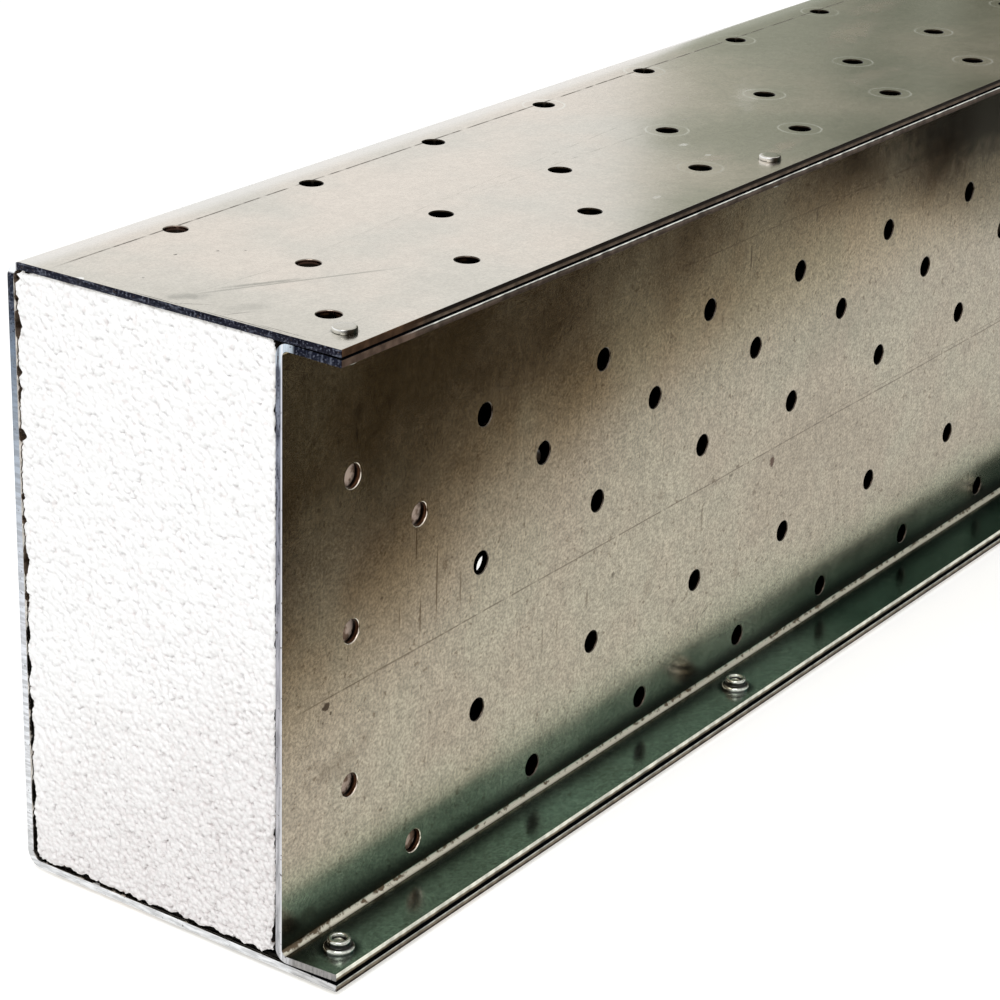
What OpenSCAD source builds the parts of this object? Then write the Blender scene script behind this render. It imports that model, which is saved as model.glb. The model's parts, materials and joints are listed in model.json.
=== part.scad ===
// Steel box lintel, 1200 mm: a C-shaped perforated sheet closed by a perforated
// web channel, riveted along both flanges, with a foam plug in each end.
// Millimetres. X runs along the length, the flanges face -Y, Z is up.

/* [Section] */
// Overall length of the lintel
lintel_length = 1200; // [600:150:1800]
// Height from the underside of the bottom plate to the top of the top plate
box_height = 215; // [200:5:260]
// Depth from the web face to the back face
box_depth = 111; // [105:1:150]
// Reach of the plates and flanges in front of the web face
flange_reach = 22.2; // [19:0.2:30]
// Thickness of the C-shaped sheet
c_sheet = 2.5; // [1.6:0.1:3.2]
// Inside radius of the C-shaped sheet's two bends
c_bend_radius = 3.2; // [2:0.2:5]
// Thickness of the web channel's sheet
web_sheet = 2.5; // [1.6:0.1:3.2]
// Inside radius of the web channel's two bends
web_bend_radius = 2; // [1:0.2:3]
// Clearance between the bottom flange's bend and the bottom plate
bottom_seat_gap = 0.35; // [0.1:0.05:0.6]
// Degrees that the bottom flange lifts off the bottom plate
bottom_flange_lift = 3; // [0:0.5:4]
// Clearance between the top flange's bend and the top plate
top_seat_gap = 0.2; // [0.1:0.05:0.6]
// Degrees that the top flange drops away from the top plate
top_flange_drop = 1.2; // [0:0.2:4]

/* [Perforations] */
// Pitch of the holes along the length
hole_pitch = 70; // [60:1:80]
// Diameter of the web's holes
web_hole_d = 8; // [6:0.2:12]
// Diameter of the holes in the top, back and bottom
plate_hole_d = 8; // [6:0.2:12]
// Height of the web's lowest hole row above the underside
web_row_1 = 16.8; // [15:0.2:20]
// Step from the first hole row to the second
row_step_1 = 35.5; // [30:0.5:38]
// Step from the second hole row to the third
row_step_2 = 54.5; // [45:0.5:58]
// Step from the third hole row to the fourth
row_step_3 = 28.7; // [20:0.1:30]
// Step from the fourth hole row to the fifth
row_step_4 = 24; // [18:0.5:26]
// First hole of the web's in-line rows, from the near end
web_first_x = 34.6; // [25:0.2:40]
// Columns punched by one stroke on the web
stroke_columns = 4; // [3:1:6]
// Length by which each later stroke on the web falls short
stroke_short = 4.6; // [0:0.2:6]
// Drop of every second stroke on the web
stroke_drop = 1.3; // [0:0.1:2]
// Row over the web face, set back from it
plate_row_1 = 0.7; // [0:0.1:4]
// Step from that row to the plate's middle row
plate_step_1 = 36; // [30:0.5:42]
// Step from the plate's middle row to its back row
plate_step_2 = 55.2; // [45:0.2:56]
// First hole of the plates' in-line rows, from the near end
plate_first_x = 58; // [45:0.5:62]
// Height of the back wall's lowest hole row above the underside
back_row_1 = 23.2; // [18:0.2:28]
// First hole of the back wall's lowest row, from the near end
back_first_x = 50.1; // [40:0.1:60]

/* [Rivets] */
// First rivet from each end
rivet_end = 14; // [12:0.5:25]
// Pitch of the rivets
rivet_pitch = 245; // [180:5:260]
// Distance of the rivets in front of the web face
rivet_reach = 12.4; // [11:0.2:13]
// Diameter of a rivet's shank
rivet_d = 4; // [3.2:0.2:5]
// Clearance of the sheets' holes round the shank, on the diameter
rivet_clearance = 0.1; // [0.05:0.05:0.3]
// Diameter of a rivet's flat head
head_d = 7.8; // [7:0.2:12]
// Height of a rivet's flat head
head_h = 1.7; // [1:0.1:2.5]
// Diameter of a collar's rolled foot
collar_foot_d = 10.4; // [9:0.2:12]
// Height of a collar's rolled foot
collar_foot_h = 1.8; // [1:0.1:2]
// Diameter of a collar's barrel
collar_d = 7.6; // [7:0.2:8.4]
// Height of a collar over the flange
collar_h = 4.2; // [3:0.1:6]
// Depth of the rivet's end below the collar's rim
collar_recess = 1; // [0.5:0.1:1.5]
// Clearance of the collar's mouth round the rivet's end
mouth_gap = 0.4; // [0.2:0.05:0.6]

/* [End plugs] */
// Length of each foam plug
plug_length = 75; // [50:5:100]
// Clearance round each foam plug
plug_gap = 0.6; // [0.3:0.1:1.5]
// Setback of each plug from the steel's end
plug_setback = 0.6; // [0.2:0.1:5]
// Broken edge round each plug's outer face
plug_chip = 2.4; // [0.5:0.1:4]

/* [Hidden] */

// underside of the bottom plate, lifted by the rivet heads beneath it
z0 = head_h;
z_top = z0 + box_height;
// the web face and the front and back of the plates
y_web = -(box_depth - flange_reach)/2;
y_front = y_web - flange_reach;
y_back = y_web + box_depth;
x_near = -lintel_length/2;
c_outer = c_bend_radius + c_sheet;
web_outer = web_bend_radius + web_sheet;
web_low = z0 + c_sheet + bottom_seat_gap;
web_high = z_top - c_sheet - top_seat_gap;
hole_margin = 7;

function arc(cy, cz, r, a0, a1, n = 8) =
    [for (i = [0:n]) let (a = a0 + (a1 - a0)*i/n) [cy + r*cos(a), cz + r*sin(a)]];

// closed outline of the C-shaped sheet, open towards -Y
c_outline = concat(
    [[y_front, z_top]],
    arc(y_back - c_outer, z_top - c_outer, c_outer, 90, 0),
    arc(y_back - c_outer, z0 + c_outer, c_outer, 0, -90),
    [[y_front, z0], [y_front, z0 + c_sheet]],
    arc(y_back - c_outer, z0 + c_outer, c_bend_radius, -90, 0),
    arc(y_back - c_outer, z_top - c_outer, c_bend_radius, 0, 90),
    [[y_front, z_top - c_sheet]]);

// centres of the channel's bends
bend_y = y_web - web_bend_radius;
low_z = web_low + web_outer;
high_z = web_high - web_outer;
bl = bottom_flange_lift;
td = top_flange_drop;
// length of the straight part of each flange, so that it ends level with the plates
function flat_len(a, r) = (bend_y - r*sin(a) - y_front)/cos(a);
low_under = [y_front, low_z - web_outer*cos(bl) + flat_len(bl, web_outer)*sin(bl)];
low_over = [y_front, low_z - web_bend_radius*cos(bl) + flat_len(bl, web_bend_radius)*sin(bl)];
high_over = [y_front, high_z + web_outer*cos(td) - flat_len(td, web_outer)*sin(td)];
high_under = [y_front, high_z + web_bend_radius*cos(td) - flat_len(td, web_bend_radius)*sin(td)];

channel_outline = concat(
    [low_over, low_under],
    arc(bend_y, low_z, web_outer, -90 - bl, 0),
    arc(bend_y, high_z, web_outer, 0, 90 + td),
    [high_over, high_under],
    arc(bend_y, high_z, web_bend_radius, 90 + td, 0),
    arc(bend_y, low_z, web_bend_radius, 0, -90 - bl));

// hole positions
row_steps = [0, row_step_1, row_step_1 + row_step_2,
    row_step_1 + row_step_2 + row_step_3,
    row_step_1 + row_step_2 + row_step_3 + row_step_4];
// rows one and four lie half a pitch further along
row_shift = [hole_pitch/2, 0, 0, hole_pitch/2, 0];
stroke_advance = stroke_columns*hole_pitch - stroke_short;
strokes = ceil(lintel_length/stroke_advance);
column_count = ceil(lintel_length/hole_pitch);
function inside(x) = x > hole_margin && x < lintel_length - hole_margin;

// X from the near end and Z over the underside
web_holes = [for (r = [0:4], s = [0:strokes - 1], c = [0:stroke_columns - 1])
    let (x = web_first_x + row_shift[r] + s*stroke_advance + c*hole_pitch)
    if (inside(x)) [x, web_row_1 + row_steps[r] - (s % 2)*stroke_drop]];
back_holes = [for (r = [0:4], c = [0:column_count - 1])
    let (x = back_first_x - hole_pitch/2 + row_shift[r] + c*hole_pitch)
    if (inside(x)) [x, back_row_1 + row_steps[r]]];
// X from the near end and the setback from the web face
plate_rows = [plate_row_1, plate_row_1 + plate_step_1, plate_row_1 + plate_step_1 + plate_step_2];
plate_holes = [for (r = [0:2], c = [-1:column_count - 1])
    let (x = plate_first_x + (r == 0 ? hole_pitch/2 : 0) + c*hole_pitch)
    if (inside(x)) [x, plate_rows[r]]];

rivet_y = y_web - rivet_reach;
last_rivet = lintel_length - rivet_end;
rivet_xs = concat(
    [for (x = [rivet_end:rivet_pitch:last_rivet - rivet_pitch/4]) x], [last_rivet]);
rivet_hole_d = rivet_d + rivet_clearance;
// the collar's bore closes on the pin, and opens at its mouth
bore_r = rivet_d/2 + 0.02;
mouth_r = rivet_d/2 + mouth_gap;
// where the collars meet the sloping flanges, on the rivet's axis
low_seat = low_over[1] - (rivet_y - y_front)*tan(bl);
high_seat = high_under[1] + (rivet_y - y_front)*tan(td);

module along_x(points) {
    translate([x_near, 0, 0]) rotate([90, 0, 90])
        linear_extrude(lintel_length) polygon(points);
}

module rivet_holes() {
    for (x = rivet_xs) translate([x_near + x, rivet_y, z0 - 5])
        cylinder(h = box_height + 10, d = rivet_hole_d, $fn = 32);
}

module box_section() color([0.72, 0.71, 0.67]) difference() {
    along_x(c_outline);
    for (h = plate_holes) translate([x_near + h[0], y_web + h[1], z0 - 5])
        cylinder(h = box_height + 10, d = plate_hole_d, $fn = 32);
    for (h = back_holes) translate([x_near + h[0], y_back + 5, z0 + h[1]])
        rotate([90, 0, 0]) cylinder(h = c_sheet + 10, d = plate_hole_d, $fn = 32);
    rivet_holes();
}

module web_channel() color([0.55, 0.52, 0.44]) difference() {
    along_x(channel_outline);
    for (h = web_holes) translate([x_near + h[0], y_web + web_sheet + 5, z0 + h[1]])
        rotate([90, 0, 0]) cylinder(h = web_sheet + 10, d = web_hole_d, $fn = 32);
    rivet_holes();
}

// a flat-headed rivet pin standing on its head, its end held in the collar
module pin(seat) {
    r = rivet_d/2;
    top = seat + collar_h - collar_recess;
    rotate_extrude($fn = 32) polygon([
        [0, -head_h], [head_d/2 - 0.5, -head_h], [head_d/2 - 0.15, -head_h + 0.15],
        [head_d/2, -head_h + 0.5], [head_d/2, 0], [r, 0],
        [r, top - 0.6], [r - 0.7, top], [0, top]]);
}

// a swaged collar with a rolled foot, cut to the slope of the flange that it sits on
module collar(seat, slope) {
    r = collar_d/2;
    f = collar_foot_d/2;
    translate([0, 0, seat]) intersection() {
        rotate_extrude($fn = 32) polygon([
            [bore_r, -1], [f, -1], [f, collar_foot_h*0.45],
            [f - 0.25, collar_foot_h*0.75], [f - 0.75, collar_foot_h*0.97],
            [r + 0.25, collar_foot_h + 0.15], [r, collar_foot_h + 0.5],
            [r, collar_h - 0.7], [r - 0.2, collar_h - 0.25], [r - 0.7, collar_h],
            [mouth_r + 0.4, collar_h], [mouth_r, collar_h - 0.4],
            [mouth_r, collar_h - collar_recess - 0.2], [bore_r, collar_h - collar_recess - 0.6]]);
        rotate([-slope, 0, 0]) translate([-10, -10, 0]) cube([20, 20, 20]);
    }
}

module each_rivet() {
    for (x = rivet_xs) {
        translate([x_near + x, rivet_y, z0]) children(0);
        translate([x_near + x, rivet_y, z_top]) mirror([0, 0, 1]) children(1);
    }
}

module rivet_pins() color([0.62, 0.62, 0.6]) each_rivet() {
    pin(low_seat - z0);
    pin(z_top - high_seat);
}

module rivet_collars() color([0.5, 0.5, 0.48]) each_rivet() {
    collar(low_seat - z0, bl);
    collar(z_top - high_seat, td);
}

// block of bead foam, its outer face broken away round the edge
module foam_plug() {
    y1 = y_web + web_sheet + plug_gap;
    y2 = y_back - c_sheet - plug_gap;
    z1 = z0 + c_sheet + plug_gap;
    z2 = z_top - c_sheet - plug_gap;
    k = c_bend_radius;
    c = plug_chip;
    module face(d) polygon([[y1 + d, z1 + d + k], [y1 + d + k, z1 + d], [y2 - d - k, z1 + d],
        [y2 - d, z1 + d + k], [y2 - d, z2 - d - k], [y2 - d - k, z2 - d],
        [y1 + d + k, z2 - d], [y1 + d, z2 - d - k]]);
    hull() {
        translate([plug_setback, 0, 0]) rotate([90, 0, 90]) linear_extrude(0.1) face(c);
        translate([plug_setback + c, 0, 0]) rotate([90, 0, 90])
            linear_extrude(plug_length - plug_setback - c) face(0);
    }
}

module foam_plug_near() color([0.97, 0.97, 0.96]) translate([x_near, 0, 0]) foam_plug();

module foam_plug_far() color([0.97, 0.97, 0.96]) mirror([1, 0, 0])
    translate([x_near, 0, 0]) foam_plug();

box_section();
web_channel();
rivet_pins();
rivet_collars();
foam_plug_near();
foam_plug_far();
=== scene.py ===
# Steel box lintel: fine shapes, finishes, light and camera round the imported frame
import json
import math

import bmesh
import bpy
import numpy as np
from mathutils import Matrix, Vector, noise

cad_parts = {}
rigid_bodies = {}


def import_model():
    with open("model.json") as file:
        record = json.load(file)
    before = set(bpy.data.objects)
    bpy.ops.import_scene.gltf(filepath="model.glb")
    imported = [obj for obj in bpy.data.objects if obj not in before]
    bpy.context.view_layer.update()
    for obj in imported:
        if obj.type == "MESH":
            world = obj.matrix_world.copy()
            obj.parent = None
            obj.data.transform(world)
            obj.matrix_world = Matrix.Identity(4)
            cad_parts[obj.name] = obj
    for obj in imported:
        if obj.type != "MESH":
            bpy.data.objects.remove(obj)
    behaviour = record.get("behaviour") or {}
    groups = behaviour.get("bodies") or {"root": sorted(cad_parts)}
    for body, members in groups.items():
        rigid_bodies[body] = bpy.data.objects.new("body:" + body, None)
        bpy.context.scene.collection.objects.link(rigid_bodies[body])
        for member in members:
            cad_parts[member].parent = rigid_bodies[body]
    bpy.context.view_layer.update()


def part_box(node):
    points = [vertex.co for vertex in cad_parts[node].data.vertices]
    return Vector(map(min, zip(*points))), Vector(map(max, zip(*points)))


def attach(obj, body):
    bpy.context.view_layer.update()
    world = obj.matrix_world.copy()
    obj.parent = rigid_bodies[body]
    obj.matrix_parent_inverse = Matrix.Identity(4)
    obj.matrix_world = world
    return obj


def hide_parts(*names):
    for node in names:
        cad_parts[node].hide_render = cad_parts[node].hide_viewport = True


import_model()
mm = 0.001

sheetLow, sheetHigh = (Vector(corner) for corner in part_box("box_section"))
webLow, webHigh = (Vector(corner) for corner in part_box("web_channel"))
nearEnd = sheetLow.x
lintelLength = sheetHigh.x - sheetLow.x
lintelHeight = sheetHigh.z - sheetLow.z
frontY = sheetLow.y
print("frame loaded")


# node helpers

class Field:
    # a node's output to reckon with: + - * / make Math nodes in its tree
    def __init__(self, tree, socket):
        self.tree, self.socket = tree, socket

    def __add__(self, other):
        return calc("ADD", self, other)

    def __sub__(self, other):
        return calc("SUBTRACT", self, other)

    def __rsub__(self, other):
        return calc("SUBTRACT", other, self)

    def __mul__(self, other):
        return calc("MULTIPLY", self, other)

    def __truediv__(self, other):
        return calc("DIVIDE", self, other)

    def __neg__(self):
        return calc("MULTIPLY", self, -1.0)


class Outputs:
    # what a node gives out, each by its name or number as a field
    def __init__(self, tree, node):
        self.tree, self.node = tree, node

    def __getitem__(self, key):
        return Field(self.tree, self.node.outputs[key])


def connect(tree, node, inputs):
    for key, value in inputs.items():
        socket = node.inputs[key]
        if isinstance(value, Field):
            tree.links.new(value.socket, socket)
        elif isinstance(value, tuple) and socket.type == "RGBA":
            socket.default_value = (*value, 1.0)
        else:
            socket.default_value = value


def put(tree, kind, inputs=None, **settings):
    node = tree.nodes.new(kind)
    for name, value in settings.items():
        setattr(node, name, value)
    connect(tree, node, inputs or {})
    return Outputs(tree, node)


def treeOf(*values):
    return next(value.tree for value in values if isinstance(value, Field))


def calc(operation, *values):
    return put(treeOf(*values), "ShaderNodeMath", dict(enumerate(values)), operation=operation)[0]


def vectorCalc(operation, *values):
    return put(treeOf(*values), "ShaderNodeVectorMath", dict(enumerate(values)), operation=operation)


def largest(*values):
    most = values[0]
    for value in values[1:]:
        most = calc("MAXIMUM", most, value)
    return most


def ease(value, low, high, start=0.0, stop=1.0):
    return put(value.tree, "ShaderNodeMapRange", {
        "Value": value, "From Min": low, "From Max": high, "To Min": start, "To Max": stop},
        interpolation_type="SMOOTHSTEP")[0]


def blend(factor, first, second, mode="MIX"):
    return put(treeOf(factor, first, second), "ShaderNodeMix", {0: factor, 6: first, 7: second},
               data_type="RGBA", blend_type=mode)[2]


def tinted(colour, tint):
    return blend(1.0, colour, tint, "MULTIPLY")


def ramp(value, stops):
    made = put(value.tree, "ShaderNodeValToRGB", {"Fac": value})
    elements = made.node.color_ramp.elements
    while len(elements) < len(stops):
        elements.new(0.5)
    for element, (position, colour) in zip(elements, stops):
        element.position = position
        element.color = (*colour, 1.0)
    return made["Color"]


def grain(place, scale, detail, roughness=0.5):
    return put(place.tree, "ShaderNodeTexNoise",
               {"Vector": place, "Scale": scale, "Detail": detail, "Roughness": roughness})["Fac"]


def joinXyz(tree, x=0.0, y=0.0, z=0.0):
    return put(tree, "ShaderNodeCombineXYZ", {"X": x, "Y": y, "Z": z})[0]


def grey(value):
    return joinXyz(value.tree, value, value, value)


def splitXyz(vector):
    return put(vector.tree, "ShaderNodeSeparateXYZ", {0: vector})


def objectPlace(tree):
    return put(tree, "ShaderNodeTexCoord")["Object"]


def surfaceNormal(tree):
    return put(tree, "ShaderNodeNewGeometry")["Normal"]


def attribute(tree, name):
    return put(tree, "ShaderNodeAttribute", attribute_name=name)["Fac"]


def newTree(name, kind, inputs, outputs):
    # an input is given with its kind or its first value, an output with its kind
    tree = bpy.data.node_groups.new(name, kind)
    kinds = {int: "Int", float: "Float", tuple: "Vector"}
    for direction, sockets in (("INPUT", inputs), ("OUTPUT", outputs)):
        for label, given in sockets.items():
            socketKind = "NodeSocket" + (given if isinstance(given, str) else kinds[type(given)])
            socket = tree.interface.new_socket(name=label, in_out=direction, socket_type=socketKind)
            if not isinstance(given, str):
                socket.default_value = given
    return tree, put(tree, "NodeGroupInput")


# shared geometry trees

def finishShape(tree, shape, material):
    real = put(tree, "GeometryNodeRealizeInstances", {"Geometry": shape})[0]
    painted = put(tree, "GeometryNodeSetMaterial", {"Geometry": real, "Material": material})[0]
    put(tree, "NodeGroupOutput", {"Geometry": painted})
    return tree


def shapeOf(helper):
    return put(helper.tree, "GeometryNodeObjectInfo", {"Object": helper})["Geometry"]


def vectorAttribute(tree, name):
    return put(tree, "GeometryNodeInputNamedAttribute", {"Name": name}, data_type="FLOAT_VECTOR")[0]


def buildPunchTree():
    # rows of holes: each row is one point of the rows mesh, its drilling direction in "aim"
    tree, given = newTree("punchHoles", "GeometryNodeTree", {
        "Geometry": "Geometry", "Rows": "Object", "Punch": "Object", "Holes per Row": 17, "Pitch": 0.07,
        "Stroke Columns": 100.0, "Stroke Shortfall": 0.0, "Stroke Drop": 0.0, "Last Hole": 0.5,
        "Material": "Material"}, {"Geometry": "Geometry"})
    points = put(tree, "GeometryNodeMeshToPoints", {"Mesh": shapeOf(given["Rows"])})[0]
    copies = put(tree, "GeometryNodeDuplicateElements",
                 {"Geometry": points, "Amount": given["Holes per Row"]}, domain="POINT")
    index = copies["Duplicate Index"]
    stroke = calc("FLOOR", index / given["Stroke Columns"])
    along = index * given["Pitch"] - stroke * given["Stroke Shortfall"]
    drop = calc("MODULO", stroke, 2.0) * given["Stroke Drop"]
    placed = put(tree, "GeometryNodeSetPosition",
                 {"Geometry": copies["Geometry"], "Offset": joinXyz(tree, along, 0.0, -drop)})[0]
    place = splitXyz(put(tree, "GeometryNodeInputPosition")[0])
    kept = put(tree, "GeometryNodeDeleteGeometry", {
        "Geometry": placed, "Selection": calc("GREATER_THAN", place["X"], given["Last Hole"])})[0]
    aim = vectorAttribute(tree, "aim")
    turn = put(tree, "FunctionNodeAlignRotationToVector", {"Vector": aim}, axis="Z")[0]
    cutters = put(tree, "GeometryNodeInstanceOnPoints", {
        "Points": kept, "Instance": shapeOf(given["Punch"]), "Rotation": turn})[0]
    cut = put(tree, "GeometryNodeMeshBoolean", {"Mesh 1": given["Geometry"], "Mesh 2": cutters},
              operation="DIFFERENCE", solver="MANIFOLD")[0]
    return finishShape(tree, cut, given["Material"])


def buildFastenerTree():
    # one fastener on every point of the places mesh, each turned a little about its own axis
    tree, given = newTree("placeFasteners", "GeometryNodeTree", {
        "Geometry": "Geometry", "Places": "Object", "Fastener": "Object", "Most Turn": 0.3, "Seed": 4,
        "Material": "Material"}, {"Geometry": "Geometry"})
    points = put(tree, "GeometryNodeMeshToPoints", {"Mesh": shapeOf(given["Places"])})[0]
    turn = put(tree, "FunctionNodeRandomValue",
               {2: -given["Most Turn"], 3: given["Most Turn"], "Seed": given["Seed"]}, data_type="FLOAT")[1]
    spin = put(tree, "FunctionNodeAxisAngleToRotation", {"Angle": turn})[0]
    upright = put(tree, "FunctionNodeEulerToRotation", {0: vectorAttribute(tree, "flip")})[0]
    turned = put(tree, "FunctionNodeRotateRotation", {0: upright, 1: spin}, rotation_space="LOCAL")[0]
    fasteners = put(tree, "GeometryNodeInstanceOnPoints", {
        "Points": points, "Instance": shapeOf(given["Fastener"]), "Rotation": turned})[0]
    joined = put(tree, "GeometryNodeJoinGeometry", {0: fasteners})
    connect(tree, joined.node, {0: given["Geometry"]})
    return finishShape(tree, joined[0], given["Material"])


punchTree = buildPunchTree()
fastenerTree = buildFastenerTree()


def addTree(piece, tree, values):
    modifier = piece.modifiers.new(tree.name, "NODES")
    modifier.node_group = tree
    for item in tree.interface.items_tree:
        if item.in_out == "INPUT" and item.name in values:
            modifier[item.identifier] = values[item.name]


def bakeTrees(piece):
    bpy.context.view_layer.update()
    depsgraph = bpy.context.evaluated_depsgraph_get()
    mesh = bpy.data.meshes.new_from_object(piece.evaluated_get(depsgraph))
    piece.modifiers.clear()
    piece.data = mesh


# mesh helpers

def newPiece(name, vertices, faces=(), vectors=None):
    mesh = bpy.data.meshes.new(name)
    mesh.from_pydata(vertices, [], faces)
    mesh.update()
    for label, values in (vectors or {}).items():
        layer = mesh.attributes.new(label, "FLOAT_VECTOR", "POINT")
        layer.data.foreach_set("vector", np.ravel(values))
    piece = bpy.data.objects.new(name, mesh)
    bpy.context.scene.collection.objects.link(piece)
    return piece


def addValues(piece, label, domain, values):
    layer = piece.data.attributes.new(label, "FLOAT", domain)
    layer.data.foreach_set("value", values)


def lathe(profile, sides, closed=False):
    # profile as (radius, height): a radius of 0 is a pole, and a closed one makes a ring
    vertices, rings, faces = [], [], []
    for radius, height in profile:
        count = sides if radius else 1
        rings.append([len(vertices) + min(step, count - 1) for step in range(sides)])
        for step in range(count):
            angle = 2 * math.pi * step / sides
            vertices.append((radius * math.cos(angle), radius * math.sin(angle), height))
    for lower, upper in zip(rings, rings[1:] + (rings[:1] if closed else [])):
        for step in range(sides):
            after = (step + 1) % sides
            corners = (lower[step], lower[after], upper[after], upper[step])
            faces.append(tuple(dict.fromkeys(corners)))
    return vertices, faces


def faceOutwards(mesh):
    shape = bmesh.new()
    shape.from_mesh(mesh)
    bmesh.ops.recalc_face_normals(shape, faces=shape.faces)
    shape.to_mesh(mesh)
    shape.free()


def smoothByAngle(mesh, degrees, flatNormals=()):
    # smooth faces, but an edge is sharp past this angle and where a flat meets a curve
    shape = bmesh.new()
    shape.from_mesh(mesh)
    limit = math.radians(degrees)
    flats = [Vector(normal).normalized() for normal in flatNormals]
    isFlat = [any(face.normal.dot(normal) > 0.9999995 for normal in flats) for face in shape.faces]
    for face in shape.faces:
        face.smooth = True
    for edge in shape.edges:
        sides = edge.link_faces
        if len(sides) == 2:
            mixed = isFlat[sides[0].index] != isFlat[sides[1].index]
            edge.smooth = not mixed and edge.calc_face_angle(0) < limit
    shape.to_mesh(mesh)
    shape.free()


def arcPoints(centre, radius, start, stop, steps=14):
    points = []
    for step in range(steps + 1):
        angle = math.radians(start + (stop - start) * step / steps)
        points.append((centre[0] + radius * math.cos(angle), centre[1] + radius * math.sin(angle)))
    return points


def rolledTip(here, beyond, edgeRound, steps=4):
    # the sheared edge between a strip's two faces, with both its corners rolled
    (outer, inner), (outerNext, innerNext) = here, beyond
    across = (inner - outer).normalized() * edgeRound
    starts = [outer + (outerNext - outer).normalized() * edgeRound, outer, outer + across,
              inner - across, inner, inner + (innerNext - inner).normalized() * edgeRound]
    curve = []
    for a, b, c in (starts[:3], starts[3:]):
        for step in range(steps + 1):
            t = step / steps
            curve.append(a * (1 - t) ** 2 + b * 2 * t * (1 - t) + c * t ** 2)
    return curve


def stripSection(pairs, edgeRound, longest):
    # pairs run along the bent strip as (outer point, inner point); gives the outline and its caps
    pairs = [(Vector(outer), Vector(inner)) for outer, inner in pairs]
    divided = []
    for (outerA, innerA), (outerB, innerB) in zip(pairs, pairs[1:]):
        parts = max(1, math.ceil((outerB - outerA).length / longest))
        divided += [(outerA.lerp(outerB, k / parts), innerA.lerp(innerB, k / parts)) for k in range(parts)]
    divided.append(pairs[-1])
    first = rolledTip(divided[0], divided[1], edgeRound)
    last = rolledTip(divided[-1], divided[-2], edgeRound)
    divided[0], divided[-1] = (first[0], first[-1]), (last[0], last[-1])
    outline = [outer for outer, inner in divided] + last[1:-1]
    outline += [inner for outer, inner in reversed(divided)] + first[-2:0:-1]
    count, mid = len(divided), len(last) - 2
    caps = []
    for i in range(count - 1):
        inner = 2 * count + mid - 1 - i
        caps.append((i, i + 1, inner - 1, inner))
    caps.append(tuple(range(count - 1, count + mid + 1)))
    caps.append(tuple(range(2 * count + mid - 1, len(outline))) + (0,))
    return [tuple(point) for point in outline], caps


def insetOutline(points, distance):
    # moves each point inwards by its own distance, whichever way the outline runs
    count = len(points)
    area = sum(points[i - 1][0] * points[i][1] - points[i][0] * points[i - 1][1] for i in range(count))
    side = 1 if area > 0 else -1
    moved = []
    for i in range(count):
        before, here, after = (Vector(points[k % count]) for k in (i - 1, i, i + 1))
        tangent = (here - before).normalized() + (after - here).normalized()
        normal = Vector((-tangent.y, tangent.x)).normalized() * side
        moved.append(tuple(here + normal * distance[i]))
    return moved


sawnEnd = dict(
    roundDepth=0.28 * mm,  # how far back the sawn edge is rounded
    burr=0.07 * mm,  # raggedness of that edge
    rag=420.0,  # how fine the raggedness is, per metre
    bodyParts=12,
)


def extrudeSheet(name, section):
    # the section from end to end, with a slightly ragged, rounded edge at each sawn end
    outline, caps = section
    count = len(outline)
    depth = sawnEnd["roundDepth"]
    ends = []
    for end, inward in ((nearEnd, 1), (nearEnd + lintelLength, -1)):
        rag = [sawnEnd["burr"] * 2 * abs(noise.noise(Vector((end * 7, y, z)) * sawnEnd["rag"]))
               for y, z in outline]
        ends.append([
            ([end + inward * value * 0.5 for value in rag],
             insetOutline(outline, [depth * 0.62 + value for value in rag])),
            ([end + inward * depth * 0.3] * count,
             insetOutline(outline, [depth * 0.16 + value * 0.5 for value in rag])),
            ([end + inward * depth] * count, insetOutline(outline, [0.0] * count))])
    parts = sawnEnd["bodyParts"]
    body = [([nearEnd + lintelLength * part / parts] * count, outline) for part in range(1, parts)]
    rings = ends[0] + body + ends[1][::-1]
    vertices, faces = [], []
    for xs, points in rings:
        vertices += [(x, y, z) for x, (y, z) in zip(xs, points)]
    last = (len(rings) - 1) * count
    for a in range(0, last, count):
        for i in range(count):
            after = (i + 1) % count
            faces.append((a + i, a + after, a + count + after, a + count + i))
    for first in (0, last):
        faces += [tuple(first + corner for corner in cap) for cap in caps]
    piece = newPiece(name, vertices, faces)
    faceOutwards(piece.data)
    return piece


def punchTool(name, diameter, thickness, sides):
    # the punch as a cutter: the sheet's skin rolls into the hole, and it breaks out slightly wider
    radius = diameter / 2
    reach = 0.6 * mm
    profile = [(0, -thickness - reach), (radius + 0.10 * mm, -thickness - reach),
               (radius + 0.10 * mm, -thickness + 0.1 * mm), (radius, -thickness + 0.5 * mm),
               (radius, -0.50 * mm), (radius + 0.05 * mm, -0.26 * mm), (radius + 0.16 * mm, -0.10 * mm),
               (radius + 0.34 * mm, 0.0), (radius + 0.34 * mm, reach), (0, reach)]
    tool = newPiece(name, *lathe(profile, sides))
    faceOutwards(tool.data)
    addValues(tool, "punched", "FACE", [1.0] * len(tool.data.polygons))
    return tool


# shader groups shared by the steel finishes

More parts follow.
